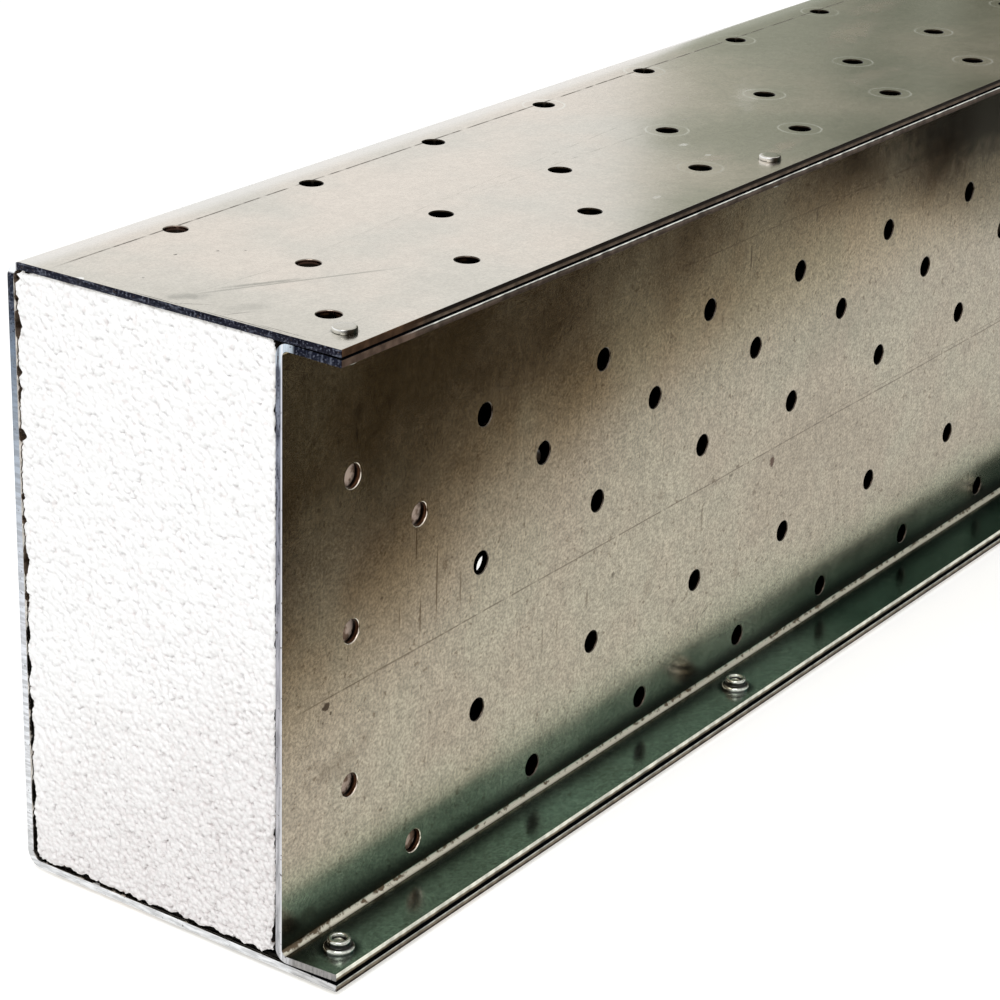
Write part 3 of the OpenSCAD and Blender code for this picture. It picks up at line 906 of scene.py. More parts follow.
# painted shade: the web's zinc is darker than the sheet's, for the darker surroundings that it mirrors
webLook = dict(
    dark=(0.335, 0.290, 0.222), light=(0.405, 0.356, 0.279), stretch=(12.0, 12.0, 0.8),
    cloudScale=15.0, cloudTint=(0.97, 1.01, 1.0), streakScale=55.0, streakDepth=0.05, streakBump=0.2,
    grainScale=900.0, grainDepth=0.21, mottleScale=330.0, mottleDepth=0.12,
    speckScale=420.0, speckAmount=0.75, speck=(0.12, 0.085, 0.05), speckStrength=0.6,
    holeWall=(0.008, 0.005, 0.004), holeRim=(0.80, 0.72, 0.62), holeBrown=(0.17, 0.095, 0.06), farRim=0.12,
    edgeStart=(0.12, 0.075, 0.05),
    # front edge bands: painted shade and highlight lines, with the sheared brown between
    lowEdge=(2.9 * mm, [(0.0, (0.006, 0.004, 0.003)), (0.5, (0.010, 0.006, 0.004)),
                        (0.60, (0.12, 0.085, 0.045)), (0.84, (0.17, 0.13, 0.08)),
                        (0.95, (0.80, 0.79, 0.68))]),
    highEdge=(209.7 * mm, [(0.0, (0.07, 0.045, 0.03)), (0.45, (0.11, 0.08, 0.06)),
                           (0.6, (0.05, 0.035, 0.025)), (0.72, (0.75, 0.76, 0.70))]),
    sawStretch=(1.0, 1.0, 0.14), glint=0.3, sawBack=0.85,
    endRamp=[(0.0, (0.52, 0.52, 0.53)), (0.4, (0.42, 0.41, 0.44)), (0.75, (0.27, 0.28, 0.34)),
             (0.93, (0.21, 0.24, 0.31)), (0.965, (0.52, 0.60, 0.68))],
    highFlangeEnd=(0.010, 0.012, 0.024), lowFlangeEnd=(0.27, 0.26, 0.25),
    contact=(5.3 * mm, 8.8 * mm), contactDark=0.97, contactRough=0.24, dirtDull=0.0, roughness=0.19,
    waveHeight=0.0006, bumpHeight=0.000012, fallAway=None,
    lines={
        (0.12, 0.09, 0.06): [(0.75, 1, 1200, 87.6, 0.006, 0.42, 0.3),
            (0.5, 330, 1200, 89.3, 0.006, 0.35, 0.4)],
        (0.15, 0.11, 0.07): [(0.6, 215, 900, 180.6, 0.0, 0.4, 0.35),
            (0.4, 310, 900, 182.4, 0.0, 0.4, 0.45)],
        (0.52, 0.47, 0.38): [(0.35, 30, 190, 184.0, -0.16, 0.35, 0.5),
            (0.3, 140, 210, 103.6, -0.02, 0.35, 0.5), (0.3, 20, 120, 192.0, -0.3, 0.35, 0.5)],
    },
    spots={
        darkBrown: [(0.95, 22, 85.1, 2.2, 1.7, 0.35, 0.8), (0.8, 24.5, 82.0, 0.7, 0.7, 0.5, 0.8),
            (0.7, 20.5, 80.0, 0.6, 0.8, 0.5, 0.8), (0.6, 50.2, 112.9, 0.9, 0.8, 0.5, 0.8),
            (0.7, 36.2, 172.8, 0.9, 3.6, 0.6, 1.3), (0.5, 37.0, 180, 2.6, 4.5, 0.8, 1.4),
            (0.7, 187, 74.1, 1.6, 1.3, 0.6, 0.9), (0.5, 156.3, 73.5, 1.0, 1.2, 0.6, 0.9),
            (0.5, 267, 87.9, 1.6, 1.2, 0.6, 1.0), (0.7, 248.6, 31, 0.5, 4.0, 0.6, 1.0),
            (0.55, 253, 36.5, 4.0, 0.5, 0.6, 0.9, 0.5), (0.55, 12, 14, 9, 4.5, 0.9, 1.4)],
        (0.06, 0.022, 0.008): [(0.9, 298, 84, 2.0, 2.8, 0.4, 0.8)],
        softBrown: [(0.8, 272, 172, 0.7, 6.5, 0.5, 0.5), (0.7, 320, 178, 0.7, 3.6, 0.5, 0.5),
            (0.6, 179, 199, 0.6, 4.5, 0.5, 0.5), (0.6, 200, 205, 0.6, 3.0, 0.5, 0.5),
            (0.9, 68.3, 126, 0.55, 8.5, 0.6, 0.5), (0.9, 71.0, 99, 0.55, 9.0, 0.6, 0.5),
            (0.9, 79.8, 108, 0.55, 19, 0.6, 0.5), (0.7, 59.7, 102, 0.5, 5.5, 0.6, 0.6),
            (0.7, 93.2, 101, 0.5, 9.0, 0.6, 0.6), (0.55, 99.1, 95.3, 1.0, 2.6, 0.7, 0.9),
            (0.6, 84.4, 113, 2.2, 3.2, 0.8, 1.4), (0.5, 53, 179, 4.0, 3.0, 0.8, 1.4),
            (0.45, 217, 95.3, 3.0, 3.6, 0.9, 1.2), (0.65, 170.4, 70.9, 1.3, 4.6, 0.7, 1.3),
            (0.6, 247.3, 77, 0.9, 8.0, 0.7, 1.1), (0.6, 285.6, 75.1, 1.6, 1.7, 0.6, 1.0),
            (0.4, 275, 46.1, 2.4, 6.5, 0.9, 1.2), (0.35, 210.8, 60.8, 3.5, 6.0, 0.9, 1.2),
            (0.5, 143, 64, 0.6, 8.0, 0.6, 0.8), (0.45, 152, 66, 0.6, 6.0, 0.6, 0.8),
            (0.4, 28, 62, 20, 9, 0.9, 1.4)],
        (0.22, 0.22, 0.16): [(0.22, 345, 126, 60, 14, 0.9, 0.9)],
        (0.20, 0.21, 0.15): [(0.22, 55, 150, 34, 22, 0.9, 0.9)],
        # painted reflection: the far top of the web darkened where it mirrors something dark
        (0.05, 0.05, 0.025): [(0.95, 475, 203, 120, 42, 0.55, 0.3)],
    },
)

galvanisedSheet = steelFinish("galvanisedSheet", sheetLook, "Y", boxGapShade)
galvanisedWeb = steelFinish("galvanisedWeb", webLook, "Z", webGapShade)


def boxProfile():
    thick, inner = boxSheet["thickness"], boxSheet["bendRadius"]
    outer = inner + thick
    bendCentreY, low, high = sheetHigh.y - outer, sheetLow.z, sheetHigh.z
    pairs = [((frontY, high), (frontY, high - thick))]
    for centre, start, stop in (((bendCentreY, high - outer), 90, 0), ((bendCentreY, low + outer), 0, -90)):
        pairs += list(zip(arcPoints(centre, outer, start, stop), arcPoints(centre, inner, start, stop)))
    pairs.append(((frontY, low), (frontY, low + thick)))
    return stripSection(pairs, boxSheet["edgeRound"], 7 * mm)


webInner = webSheet["bendRadius"]
webOuter = webInner + webSheet["thickness"]
bendY = webFaceY - webInner
liftSlope, dropSlope = (math.radians(webSheet[key]) for key in ("flangeLift", "flangeDrop"))


def webProfile():
    lowZ, highZ = webLow.z + webOuter, webHigh.z - webOuter
    lift, drop = webSheet["flangeLift"], webSheet["flangeDrop"]

    def tip(centreZ, slope, radius, side):
        flat = (bendY - radius * math.sin(slope) - frontY) / math.cos(slope)
        return (frontY, centreZ - side * (radius * math.cos(slope) - flat * math.sin(slope)))

    pairs = [(tip(lowZ, liftSlope, webOuter, 1), tip(lowZ, liftSlope, webInner, 1))]
    for centre, start, stop in (((bendY, lowZ), -90 - lift, 0), ((bendY, highZ), 0, 90 + drop)):
        pairs += list(zip(arcPoints(centre, webOuter, start, stop), arcPoints(centre, webInner, start, stop)))
    pairs.append((tip(highZ, dropSlope, webOuter, -1), tip(highZ, dropSlope, webInner, -1)))
    return stripSection(pairs, webSheet["edgeRound"], 7 * mm)


def rowPoints(name, rows):
    # rows: (first hole, y, z, direction out of the sheet)
    return newPiece(name, [row[:3] for row in rows], vectors={"aim": [row[3] for row in rows]})


def plateRows():
    rows = []
    for behind, shift in zip(boxSheet["rowsBehindWeb"], boxSheet["rowShifts"]):
        first = nearEnd + boxSheet["firstHole"] + shift - boxSheet["holePitch"]
        while first < nearEnd + boxSheet["margin"]:
            first += boxSheet["holePitch"]
        rows += [(first, webFaceY + behind, sheetHigh.z, (0, 0, 1)),
                 (first, webFaceY + behind, sheetLow.z, (0, 0, -1))]
    for height, shift in zip(boxSheet["backRows"], boxSheet["backShifts"]):
        first = nearEnd + boxSheet["backFirstHole"] + shift
        rows.append((first, sheetHigh.y, sheetLow.z + height, (0, 1, 0)))
    return rows


def punchSheet(piece, name, rows, punch, count, pitch, material, **stroke):
    addTree(piece, punchTree, {
        "Rows": rowPoints(name, rows), "Punch": punch, "Holes per Row": count, "Pitch": pitch,
        "Last Hole": lastHoleX, "Material": material, **stroke})


def punchRivets(piece, name, bore, inside, material):
    # inside is how far the drilled face lies within the box's own faces
    rows = [(x, rivetY, z, (0, 0, side)) for x in (firstRivetX, lastRivetX)
            for z, side in ((sheetHigh.z - inside, 1), (sheetLow.z + inside, -1))]
    punchSheet(piece, name, rows, bore, 5, rivets["pitch"], material)


print("shared tools and finishes ready")

boxPiece = extrudeSheet("boxSection", boxProfile())
boxPunch = punchTool("boxPunch", boxSheet["holeDiameter"], boxSheet["thickness"], 40)
rivetBore = punchTool("rivetBore", rivets["holeDiameter"], boxSheet["thickness"], 24)
punchSheet(boxPiece, "boxRows", plateRows(), boxPunch, 18, boxSheet["holePitch"], galvanisedSheet)
punchRivets(boxPiece, "boxRivetRows", rivetBore, 0.0, galvanisedSheet)
bakeTrees(boxPiece)
smoothByAngle(boxPiece.data, 40, [(0, 0, 1), (0, 0, -1), (0, 1, 0), (0, -1, 0)])
print("box section punched:", len(boxPiece.data.polygons), "faces")

# web channel

webPiece = extrudeSheet("webChannel", webProfile())
webPunch = punchTool("webPunch", webSheet["holeDiameter"], webSheet["thickness"], 48)
flangeBore = punchTool("flangeBore", rivets["holeDiameter"], 2 * webSheet["thickness"], 24)
webRows = [(nearEnd + webSheet["firstHole"] + shift, webFaceY, sheetLow.z + height, (0, -1, 0))
           for height, shift in zip(webSheet["rows"], webSheet["rowShifts"])]
punchSheet(webPiece, "webRows", webRows, webPunch, 18, webSheet["holePitch"], galvanisedWeb, **{
    "Stroke Columns": webSheet["strokeColumns"], "Stroke Shortfall": webSheet["strokeShortfall"],
    "Stroke Drop": webSheet["strokeDrop"]})
punchRivets(webPiece, "webRivetRows", flangeBore, boxSheet["thickness"], galvanisedWeb)
bakeTrees(webPiece)
smoothByAngle(webPiece.data, 40, [
    (0, -1, 0), (0, 1, 0), (0, math.sin(liftSlope), math.cos(liftSlope)),
    (0, -math.sin(liftSlope), -math.cos(liftSlope)), (0, math.sin(dropSlope), -math.cos(dropSlope)),
    (0, -math.sin(dropSlope), math.cos(dropSlope))])
print("web channel punched:", len(webPiece.data.polygons), "faces")

# rivets: pins with flat heads, collars swaged on inside the recess

pinShape = dict(
    shank=4.0 * mm,
    head=7.8 * mm,
    headHeight=1.7 * mm,
    lean=0.28 * mm,  # the broken end stands a little to one side in its collar
    leanWay=(-0.58, 0.81),
)

collarShape = dict(
    foot=10.4 * mm,
    footHeight=1.8 * mm,
    barrel=7.6 * mm,
    height=4.2 * mm,
    recess=1.0 * mm,
    mouthGap=0.4 * mm,
    boreGap=0.02 * mm,
)


def overFlange(slope):
    # how far a flange's inner face is from its bend's centre, on the rivets' axis
    return webInner / math.cos(slope) - (bendY - rivetY) * math.tan(slope)


# where a collar meets its flange: over the underside, and under the top
lowSeat = webLow.z + webOuter - overFlange(liftSlope) - sheetLow.z
highSeat = sheetHigh.z - (webHigh.z - webOuter + overFlange(dropSlope))


def pinSolid(seat):
    head, shank, rise = pinShape["head"] / 2, pinShape["shank"] / 2, pinShape["headHeight"]
    top = seat + collarShape["height"] - collarShape["recess"]
    profile = [(0, -rise), (head * 0.55, -rise), (head - 0.55 * mm, -rise + 0.02 * mm),
               (head - 0.28 * mm, -rise + 0.10 * mm), (head - 0.12 * mm, -rise + 0.24 * mm),
               (head - 0.03 * mm, -rise + 0.42 * mm), (head, -rise + 0.62 * mm),
               (head, -0.2 * mm), (head - 0.08 * mm, -0.04 * mm), (head - 0.2 * mm, 0), (shank, 0),
               (shank, top - 1.4 * mm), (shank, top - 0.6 * mm), (shank - 0.12 * mm, top - 0.34 * mm),
               (shank - 0.45 * mm, top - 0.14 * mm), (shank - 0.8 * mm, top), (0, top + 0.06 * mm)]
    vertices, faces = lathe(profile, 64)
    leaning = []
    for x, y, z in vertices:
        bend = pinShape["lean"] * min(1, max(0, (z - top + 1.4 * mm) / (1.2 * mm))) ** 2
        leaning.append((x + pinShape["leanWay"][0] * bend, y + pinShape["leanWay"][1] * bend, z))
    return leaning, faces


def collarSolid(seat, slope):
    barrel, foot = collarShape["barrel"] / 2, collarShape["foot"] / 2
    height, rim = collarShape["height"], collarShape["footHeight"]
    bore = pinShape["shank"] / 2 + collarShape["boreGap"]
    mouth = pinShape["shank"] / 2 + collarShape["mouthGap"]
    floor = height - collarShape["recess"]
    corners = [(bore, -0.6 * mm), (foot, -0.6 * mm), (foot, rim * 0.45), (foot - 0.12 * mm, rim * 0.66),
               (foot - 0.4 * mm, rim * 0.88), (foot - 0.8 * mm, rim * 0.98),
               (barrel + 0.3 * mm, rim + 0.1 * mm), (barrel + 0.06 * mm, rim + 0.28 * mm),
               (barrel, rim + 0.55 * mm), (barrel, height - 0.75 * mm),
               (barrel - 0.07 * mm, height - 0.42 * mm), (barrel - 0.25 * mm, height - 0.16 * mm),
               (barrel - 0.55 * mm, height - 0.02 * mm), (barrel - 0.75 * mm, height),
               (mouth + 0.5 * mm, height), (mouth + 0.16 * mm, height - 0.10 * mm),
               (mouth, height - 0.40 * mm), (mouth, floor - 0.2 * mm), (bore, floor - 0.6 * mm)]
    vertices, faces = lathe(corners, 64, closed=True)
    return [(x, y, seat + max(z, -y * math.tan(slope))) for x, y, z in vertices], faces


def fastenerPlaces(name, z, flip):
    count = 1 + int((lastRivetX - firstRivetX) / rivets["pitch"] - 0.25)
    xs = [firstRivetX + i * rivets["pitch"] for i in range(count)] + [lastRivetX]
    return newPiece(name, [(x, rivetY, z) for x in xs], vectors={"flip": [(flip, 0, 0)] * len(xs)})


def metalFinish(name, base, roughness, darkening, bands=None, shadeWay=None):
    material, tree, shader = newMaterial(name)
    vector = objectPlace(tree)
    scuffs, patches = grain(vector, 700.0, 4.0), grain(vector, 160.0, 3.0)
    dull = tuple(channel * (1 - darkening) for channel in base)
    colour = blend(ease(scuffs, 0.35, 0.6), dull, base)
    if bands:
        # painted shade: darkened nearly to black between a collar's foot and its lip, measured from the
        # flange that it sits on
        height = overHeight(splitXyz(vector))
        nearer = calc("MINIMUM", height, lintelHeight - height)
        share = (nearer - (lowSeat + highSeat) / 2) / collarShape["height"]
        colour = tinted(colour, ramp(share, [(at, (v, v, v)) for at, v in bands]))
    if shadeWay:
        # the heads' sides: a painted highlight on one side and painted shade on the other
        normal = surfaceNormal(tree)
        facing = vectorCalc("DOT_PRODUCT", normal, shadeWay)["Value"]
        onSide = ease(calc("ABSOLUTE", splitXyz(normal)["Z"]), 0.55, 0.93, 1.0, 0.0)
        side = blend(ease(facing, -0.75, 0.25), (0.92, 0.92, 0.90), (0.030, 0.024, 0.018))
        colour = blend(onSide, colour, side)
    connect(tree, shader, {
        "Base Color": colour, "Metallic": 1.0,
        "Roughness": ease(patches, 0.3, 0.7, roughness - 0.06, roughness + 0.08),
        "Normal": put(tree, "ShaderNodeBump", {"Height": scuffs, "Distance": 0.00002, "Strength": 1.0})[0]})
    return material


rivetSteel = metalFinish("rivetSteel", (0.57, 0.545, 0.48), 0.24, 0.10, shadeWay=(0.64, -0.77, 0.0))
collarSteel = metalFinish("collarSteel", (0.62, 0.63, 0.57), 0.16, 0.25, [
    (0.0, 1.0), (0.40, 1.0), (0.47, 0.04), (0.80, 0.05), (0.88, 0.95), (1.0, 1.0)])
lowPlaces = fastenerPlaces("lowPlaces", sheetLow.z, 0)
highPlaces = fastenerPlaces("highPlaces", sheetHigh.z, math.pi)


def fastenerPiece(name, lowPart, highPart, material, mostTurn, seed):
    piece = newPiece(name, [])
    for end, part, places in (("Low", lowPart, lowPlaces), ("High", highPart, highPlaces)):
        helper = newPiece(name + end, *part)
        faceOutwards(helper.data)
        addTree(piece, fastenerTree, {
            "Places": places, "Fastener": helper, "Most Turn": mostTurn, "Seed": seed, "Material": material})
    bakeTrees(piece)
    smoothByAngle(piece.data, 50)
    return piece


pinPiece = fastenerPiece("rivetPins", pinSolid(lowSeat), pinSolid(highSeat), rivetSteel, 0.3, 5)
collarPiece = fastenerPiece("rivetCollars", collarSolid(lowSeat, liftSlope),
                            collarSolid(highSeat, -dropSlope), collarSteel, 0.0, 7)
print("rivets placed")

# foam plugs: a broken face of beads, ragged where it meets the steel

foamPlug = dict(
    spacing=0.54 * mm,  # grid of the front face
    bead=1.9 * mm,
    face=0.34 * mm,  # the face's mean depth behind the steel's end
    sideRows=(0.4, 0.8, 1.4, 2.2, 3.2, 4.5, 6.5, 9, 14, 20, 30, 45, 60, 74.4),  # mm behind the steel's end
    cornerRound=3.2 * mm,
    # places where beads are missing along each side, in mm: (position, half its length, depth)
    wallBites=[(213.5, 2.2, 2.6), (209.3, 1.6, 1.8), (202.6, 1.2, 1.0), (193.4, 4.6, 1.9), (178, 1.8, 1.3),
               (171, 4, 0.5), (156.5, 2.2, 2.6), (135, 0.9, 1.0), (127, 1.5, 1.2), (112.5, 5.5, 1.1),
               (100, 1.8, 1.0), (86, 3.2, 1.0), (75, 4, 1.4), (61, 3.5, 1.2), (50, 5.5, 0.9), (27.5, 5, 1.1),
               (12, 8, 0.8), (4, 4, 1.3)],
    floorBites=[(94, 5, 0.9), (85, 2.2, 1.3), (79.8, 1, 0.8), (66, 1.8, 1.0), (59.3, 1.8, 0.8),
                (52, 4.4, 1.1), (45, 2.8, 1.3), (38.3, 2.5, 1.0), (30, 4, 1.1), (20, 4, 1.0),
                (12.5, 2.8, 0.9), (4.8, 4, 2.0)],
    webBites=[(10, 7, 1.4), (47, 4, 0.6), (190, 3, 0.4)],
    roofBites=[(104, 3, 0.8)],
)


def latticeNoise(u, v, seed):
    # smooth random values from -1 to 1, one per unit of u and v
    grid = np.random.default_rng(seed).uniform(-1, 1, (512, 512))
    iu, iv = np.floor(u).astype(int), np.floor(v).astype(int)
    fu, fv = u - iu, v - iv
    fu, fv = fu * fu * (3 - 2 * fu), fv * fv * (3 - 2 * fv)
    a, b = grid[iu % 512, iv % 512], grid[(iu + 1) % 512, iv % 512]
    c, d = grid[iu % 512, (iv + 1) % 512], grid[(iu + 1) % 512, (iv + 1) % 512]
    return (a * (1 - fu) + b * fu) * (1 - fv) + (c * (1 - fu) + d * fu) * fv


def beadHeights(ys, zs, seed):
    # the highest of many round beads over each grid point
    random = np.random.default_rng(seed)
    size = foamPlug["bead"]
    heights = np.full((len(zs), len(ys)), -1.5 * mm)
    rows = int((zs[-1] - zs[0]) / (size * 0.8)) + 3
    columns = int((ys[-1] - ys[0]) / (size * 0.92)) + 3
    for row in range(rows):
        for column in range(columns):
            y = ys[0] + (column - 1 + 0.5 * (row % 2) + random.uniform(-0.3, 0.3)) * size * 0.92
            z = zs[0] + (row - 1 + random.uniform(-0.3, 0.3)) * size * 0.8
            radius = size * random.uniform(0.5, 0.8)
            top = random.normal(0.03, 0.14) * mm
            if random.random() < 0.05:
                top -= 0.7 * mm  # a bead torn out
            j = slice(*np.searchsorted(ys, (y - radius, y + radius)))
            i = slice(*np.searchsorted(zs, (z - radius, z + radius)))
            away = (ys[None, j] - y) ** 2 + (zs[i, None] - z) ** 2
            dome = top - radius + np.sqrt(np.maximum(radius ** 2 - away, 0))
            dome[away > radius ** 2] = -1
            heights[i, j] = np.maximum(heights[i, j], dome)
    return heights


def blurGrid(values, size):
    kernel = np.ones(size) / size
    wide = np.pad(values, size // 2, mode="edge")
    wide = np.apply_along_axis(lambda line: np.convolve(line, kernel, "valid"), 0, wide)
    return np.apply_along_axis(lambda line: np.convolve(line, kernel, "valid"), 1, wide)


def biteDepth(position, seed, base, ripple, bites):
    # how far the foam stands off the steel along one side, in metres; it touches in many places
    ripples = latticeNoise(position / (2.1 * mm), position * 0 + 3.3, seed)
    slow = latticeNoise(position / (11 * mm), position * 0 + 7.7, seed + 1)
    depth = np.maximum(base + ripple * (ripples + 0.7 * slow), 0)
    for centre, half, deep in bites:
        nearness = np.clip(1 - np.abs(position - centre * mm) / (half * mm), 0, 1)
        depth += deep * mm * nearness ** 0.7
    return depth


def roundCorners(y, z, movedY, movedZ, low, high):
    # bends the block's square corners round an arc: y and z tell which points are in a corner
    corner = foamPlug["cornerRound"]
    for signY, edgeY in ((1, high.y), (-1, low.y)):
        for signZ, edgeZ in ((1, high.z), (-1, low.z)):
            a = (y - (edgeY - signY * corner)) * signY
            b = (z - (edgeZ - signZ * corner)) * signZ
            inside = (a > 0) & (b > 0)
            size = np.maximum(a, b)
            angle = np.where(b <= a, b / np.maximum(a, 1e-9), 2 - a / np.maximum(b, 1e-9)) * math.pi / 4
            movedY = np.where(inside, movedY + signY * (size * np.cos(angle) - a), movedY)
            movedZ = np.where(inside, movedZ + signZ * (size * np.sin(angle) - b), movedZ)
    return movedY, movedZ


def frontFace(low, high, seed):
    # the broken face as a grid: its points, how deep each lies in a cavity, and its ragged sides
    step = foamPlug["spacing"]
    ys = np.linspace(low.y, high.y, int((high.y - low.y) / step) + 1)
    zs = np.linspace(low.z, high.z, int((high.z - low.z) / step) + 1)
    gridY, gridZ = np.meshgrid(ys, zs)

    def uneven(size, number):
        return latticeNoise(gridY / (size * mm), gridZ / (size * mm), seed + number)

    heights = np.minimum(beadHeights(ys, zs, seed), 0.12 * mm + uneven(1.7, 4) * 0.12 * mm)
    heights = heights + uneven(0.9, 2) * 0.06 * mm
    cavity = np.clip((blurGrid(heights, 9) - heights) / (0.55 * mm), 0, 1)
    # distance from the ragged outline pushes the edge in and back
    overWall, overFloor = zs - sheetLow.z, ys - webFaceY
    wallSide = biteDepth(overWall, seed + 10, -0.1 * mm, 0.55 * mm, foamPlug["wallBites"])
    webSide = biteDepth(overWall, seed + 20, 0.4 * mm, 0.45 * mm, foamPlug["webBites"])
    floorSide = biteDepth(overFloor, seed + 30, 0.05 * mm, 0.5 * mm, foamPlug["floorBites"])
    roofSide = biteDepth(overFloor, seed + 40, 0.0, 0.25 * mm, foamPlug["roofBites"])

    def pull(distance):
        return np.clip(1 - distance / (9 * mm), 0, 1) ** 2

    movedY = gridY + webSide[:, None] * pull(gridY - low.y) - wallSide[:, None] * pull(high.y - gridY)
    movedZ = gridZ + floorSide[None, :] * pull(gridZ - low.z) - roofSide[None, :] * pull(high.z - gridZ)
    movedY, movedZ = roundCorners(gridY, gridZ, movedY, movedZ, low, high)
    edge = np.minimum.reduce([gridY - low.y, high.y - gridY, gridZ - low.z, high.z - gridZ])
    rollOff = 0.6 * mm * np.clip(1 - edge / (1.3 * mm), 0, 1) ** 2
    depth = np.maximum(foamPlug["face"] - heights - uneven(9, 3) * 0.25 * mm + rollOff, 0.05 * mm)
    return gridY, gridZ, depth.ravel(), movedY.ravel(), movedZ.ravel(), cavity.ravel()


def plugMesh(name, side, seed):
    low, high = (Vector(corner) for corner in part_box("foam_plug_near"))
    low.y, high.y = low.y - 0.25 * mm, high.y + 0.35 * mm
    low.z, high.z = low.z - 0.1 * mm, high.z + 0.5 * mm
    gridY, gridZ, frontX, edgeY, edgeZ, cavity = frontFace(low, high, seed)
    index = np.arange(gridY.size).reshape(gridY.shape)
    border = np.concatenate([index[0, :], index[1:, -1], index[-1, -2::-1], index[-2:0:-1, 0]])
    count = len(border)
    # the block's own outline for the border's points
    rimY, rimZ = gridY.ravel()[border], gridZ.ravel()[border]
    rimY, rimZ = roundCorners(rimY, rimZ, rimY, rimZ, low, high)
    middleY, middleZ = (low.y + high.y) / 2, (low.z + high.z) / 2
    points = [np.column_stack([frontX, edgeY, edgeZ])]
    faces = np.column_stack([index[:-1, :-1].ravel(), index[:-1, 1:].ravel(),
                             index[1:, 1:].ravel(), index[1:, :-1].ravel()]).tolist()
    shade = [np.zeros(index.size)]
    onRoof = rimZ > high.z - 0.6 * mm
    onHighWall = (rimY > high.y - 0.6 * mm) & (rimZ > 95 * mm)
    previous = border
    for number, behind in enumerate(foamPlug["sideRows"]):
        share = min(1.0, max(0.0, (behind - 6) / 12))
        ringY = edgeY[border] * (1 - share) + rimY * share
        ringZ = edgeZ[border] * (1 - share) + rimZ * share
        dent = 0.35 * mm * np.abs(latticeNoise(np.arange(count) / 4.5, border * 0 + behind, seed + 50))
        shrink = 1 - (dent + 0.12 * mm) / np.hypot(ringY - middleY, ringZ - middleZ)
        points.append(np.column_stack([
            np.maximum(frontX[border] + 0.15 * mm * (number + 1), behind * mm),
            middleY + (ringY - middleY) * shrink, middleZ + (ringZ - middleZ) * shrink]))
        ring = index.size + number * count + np.arange(count)
        faces += np.column_stack([previous, ring, np.roll(ring, -1), np.roll(previous, -1)]).tolist()
        previous = ring
        tones = np.full(count, np.interp(behind, (0, 0.8, 14, 28), (0.4, 1, 1, 0.32)))
        tones[onRoof & (behind > 20)] *= 0.3
        tones[onHighWall & (behind < 7)] *= 0.62
        shade.append(tones)
    points = np.concatenate(points + [[[foamPlug["sideRows"][-1] * mm, middleY, middleZ]]])
    points[:, 0] = side * (lintelLength / 2 - points[:, 0])
    last = len(points) - 1
    faces += np.column_stack([previous, np.full(count, last), np.roll(previous, -1)]).tolist()
    piece = newPiece(name, points.tolist(), faces)
    hollow = np.zeros(len(points))
    hollow[:index.size] = cavity
    addValues(piece, "cavity", "POINT", hollow)
    addValues(piece, "shade", "POINT", np.concatenate(shade + [[0.0]]))
    faceOutwards(piece.data)
    smoothByAngle(piece.data, 80)
    piece.data.materials.append(beadFoam)
    return piece


def foamFinish():
    material, tree, shader = newMaterial("beadFoam")
    vector = objectPlace(tree)
    place = splitXyz(vector)
    mottle, broad, pits = (grain(vector, *size) for size in ((600.0, 3.0), (40.0, 2.0), (330.0, 2.0)))
    # painted light: whiter up and towards the back wall
    up = overHeight(place) / (lintelHeight / 0.75)
    paintedLight = calc("MULTIPLY_ADD", place["Y"] - webFaceY, 2.3, up)
    paintedLight = ease(ease(paintedLight, 0.05, 0.62) + (broad - 0.5) * 0.5, 0.0, 1.0)
    pure = (0.965, 0.965, 0.963)
    colour = blend(paintedLight, (0.875, 0.856, 0.85), pure)
    colour = blend(ease(mottle, 0.4, 0.7, 0.0, 0.6), colour, blend(paintedLight, (0.835, 0.81, 0.805), pure))
    beads = put(tree, "ShaderNodeTexVoronoi", {
        "Vector": vector, "Scale": 660.0, "Randomness": 1.0})["Distance"]
    # painted shade between the beads, fainter where the painted light is strong
    borders = ease(beads, 0.40, 0.75) * calc("MULTIPLY_ADD", paintedLight, -0.4, 0.45)
    colour = blend(borders, colour, (0.78, 0.72, 0.715))
    # painted shade in small pits
    colour = blend(ease(pits, 0.61, 0.71, 0.0, 0.6), colour, (0.83, 0.78, 0.77))
    # painted shade in the face's hollows
    hollow = ease(attribute(tree, "cavity"), 0.2, 1.0) * calc("MULTIPLY_ADD", paintedLight, -0.25, 0.5)
    colour = blend(hollow, colour, (0.74, 0.68, 0.675))
    # painted shade on the foam's sides: near black in the gaps by the front, brownish from the steel further
    # back
    shade = attribute(tree, "shade")
    shadedBrown = blend(ease(pits, 0.46, 0.60), (0.62, 0.49, 0.40), (0.22, 0.145, 0.10))
    colour = blend(ease(shade, 0.0, 0.32), colour, shadedBrown)
    colour = blend(ease(shade, 0.36, 0.9), colour, (0.02, 0.015, 0.013))
    domes = 1.0 - beads * beads * 2.2
    connect(tree, shader, {
        "Base Color": colour, "Roughness": 0.85, "Specular IOR Level": 0.25,
        "Normal": put(tree, "ShaderNodeBump", {
            "Height": domes + mottle * 0.15, "Distance": 0.00028,
            "Strength": calc("MULTIPLY_ADD", paintedLight, -0.7, 0.9)})[0]})
    return material


beadFoam = foamFinish()
nearPlug = plugMesh("nearFoamPlug", -1, 21)
farPlug = plugMesh("farFoamPlug", 1, 63)
print("foam plugs made:", len(nearPlug.data.polygons), "faces each")

# floor, world, lamps and camera

studio = dict(
    floorSize=14.0,
    floorColour=(0.86, 0.86, 0.85),
    floorGlow=0.34,  # for the camera and for reflections only
    worldLight=0.755,
    lampPower=18.0,
    lampSize=1.2,
    lampPlace=(-1.5, -0.5, 1.7),
    lampTarget=(-0.3, 0.0, 0.1),
)


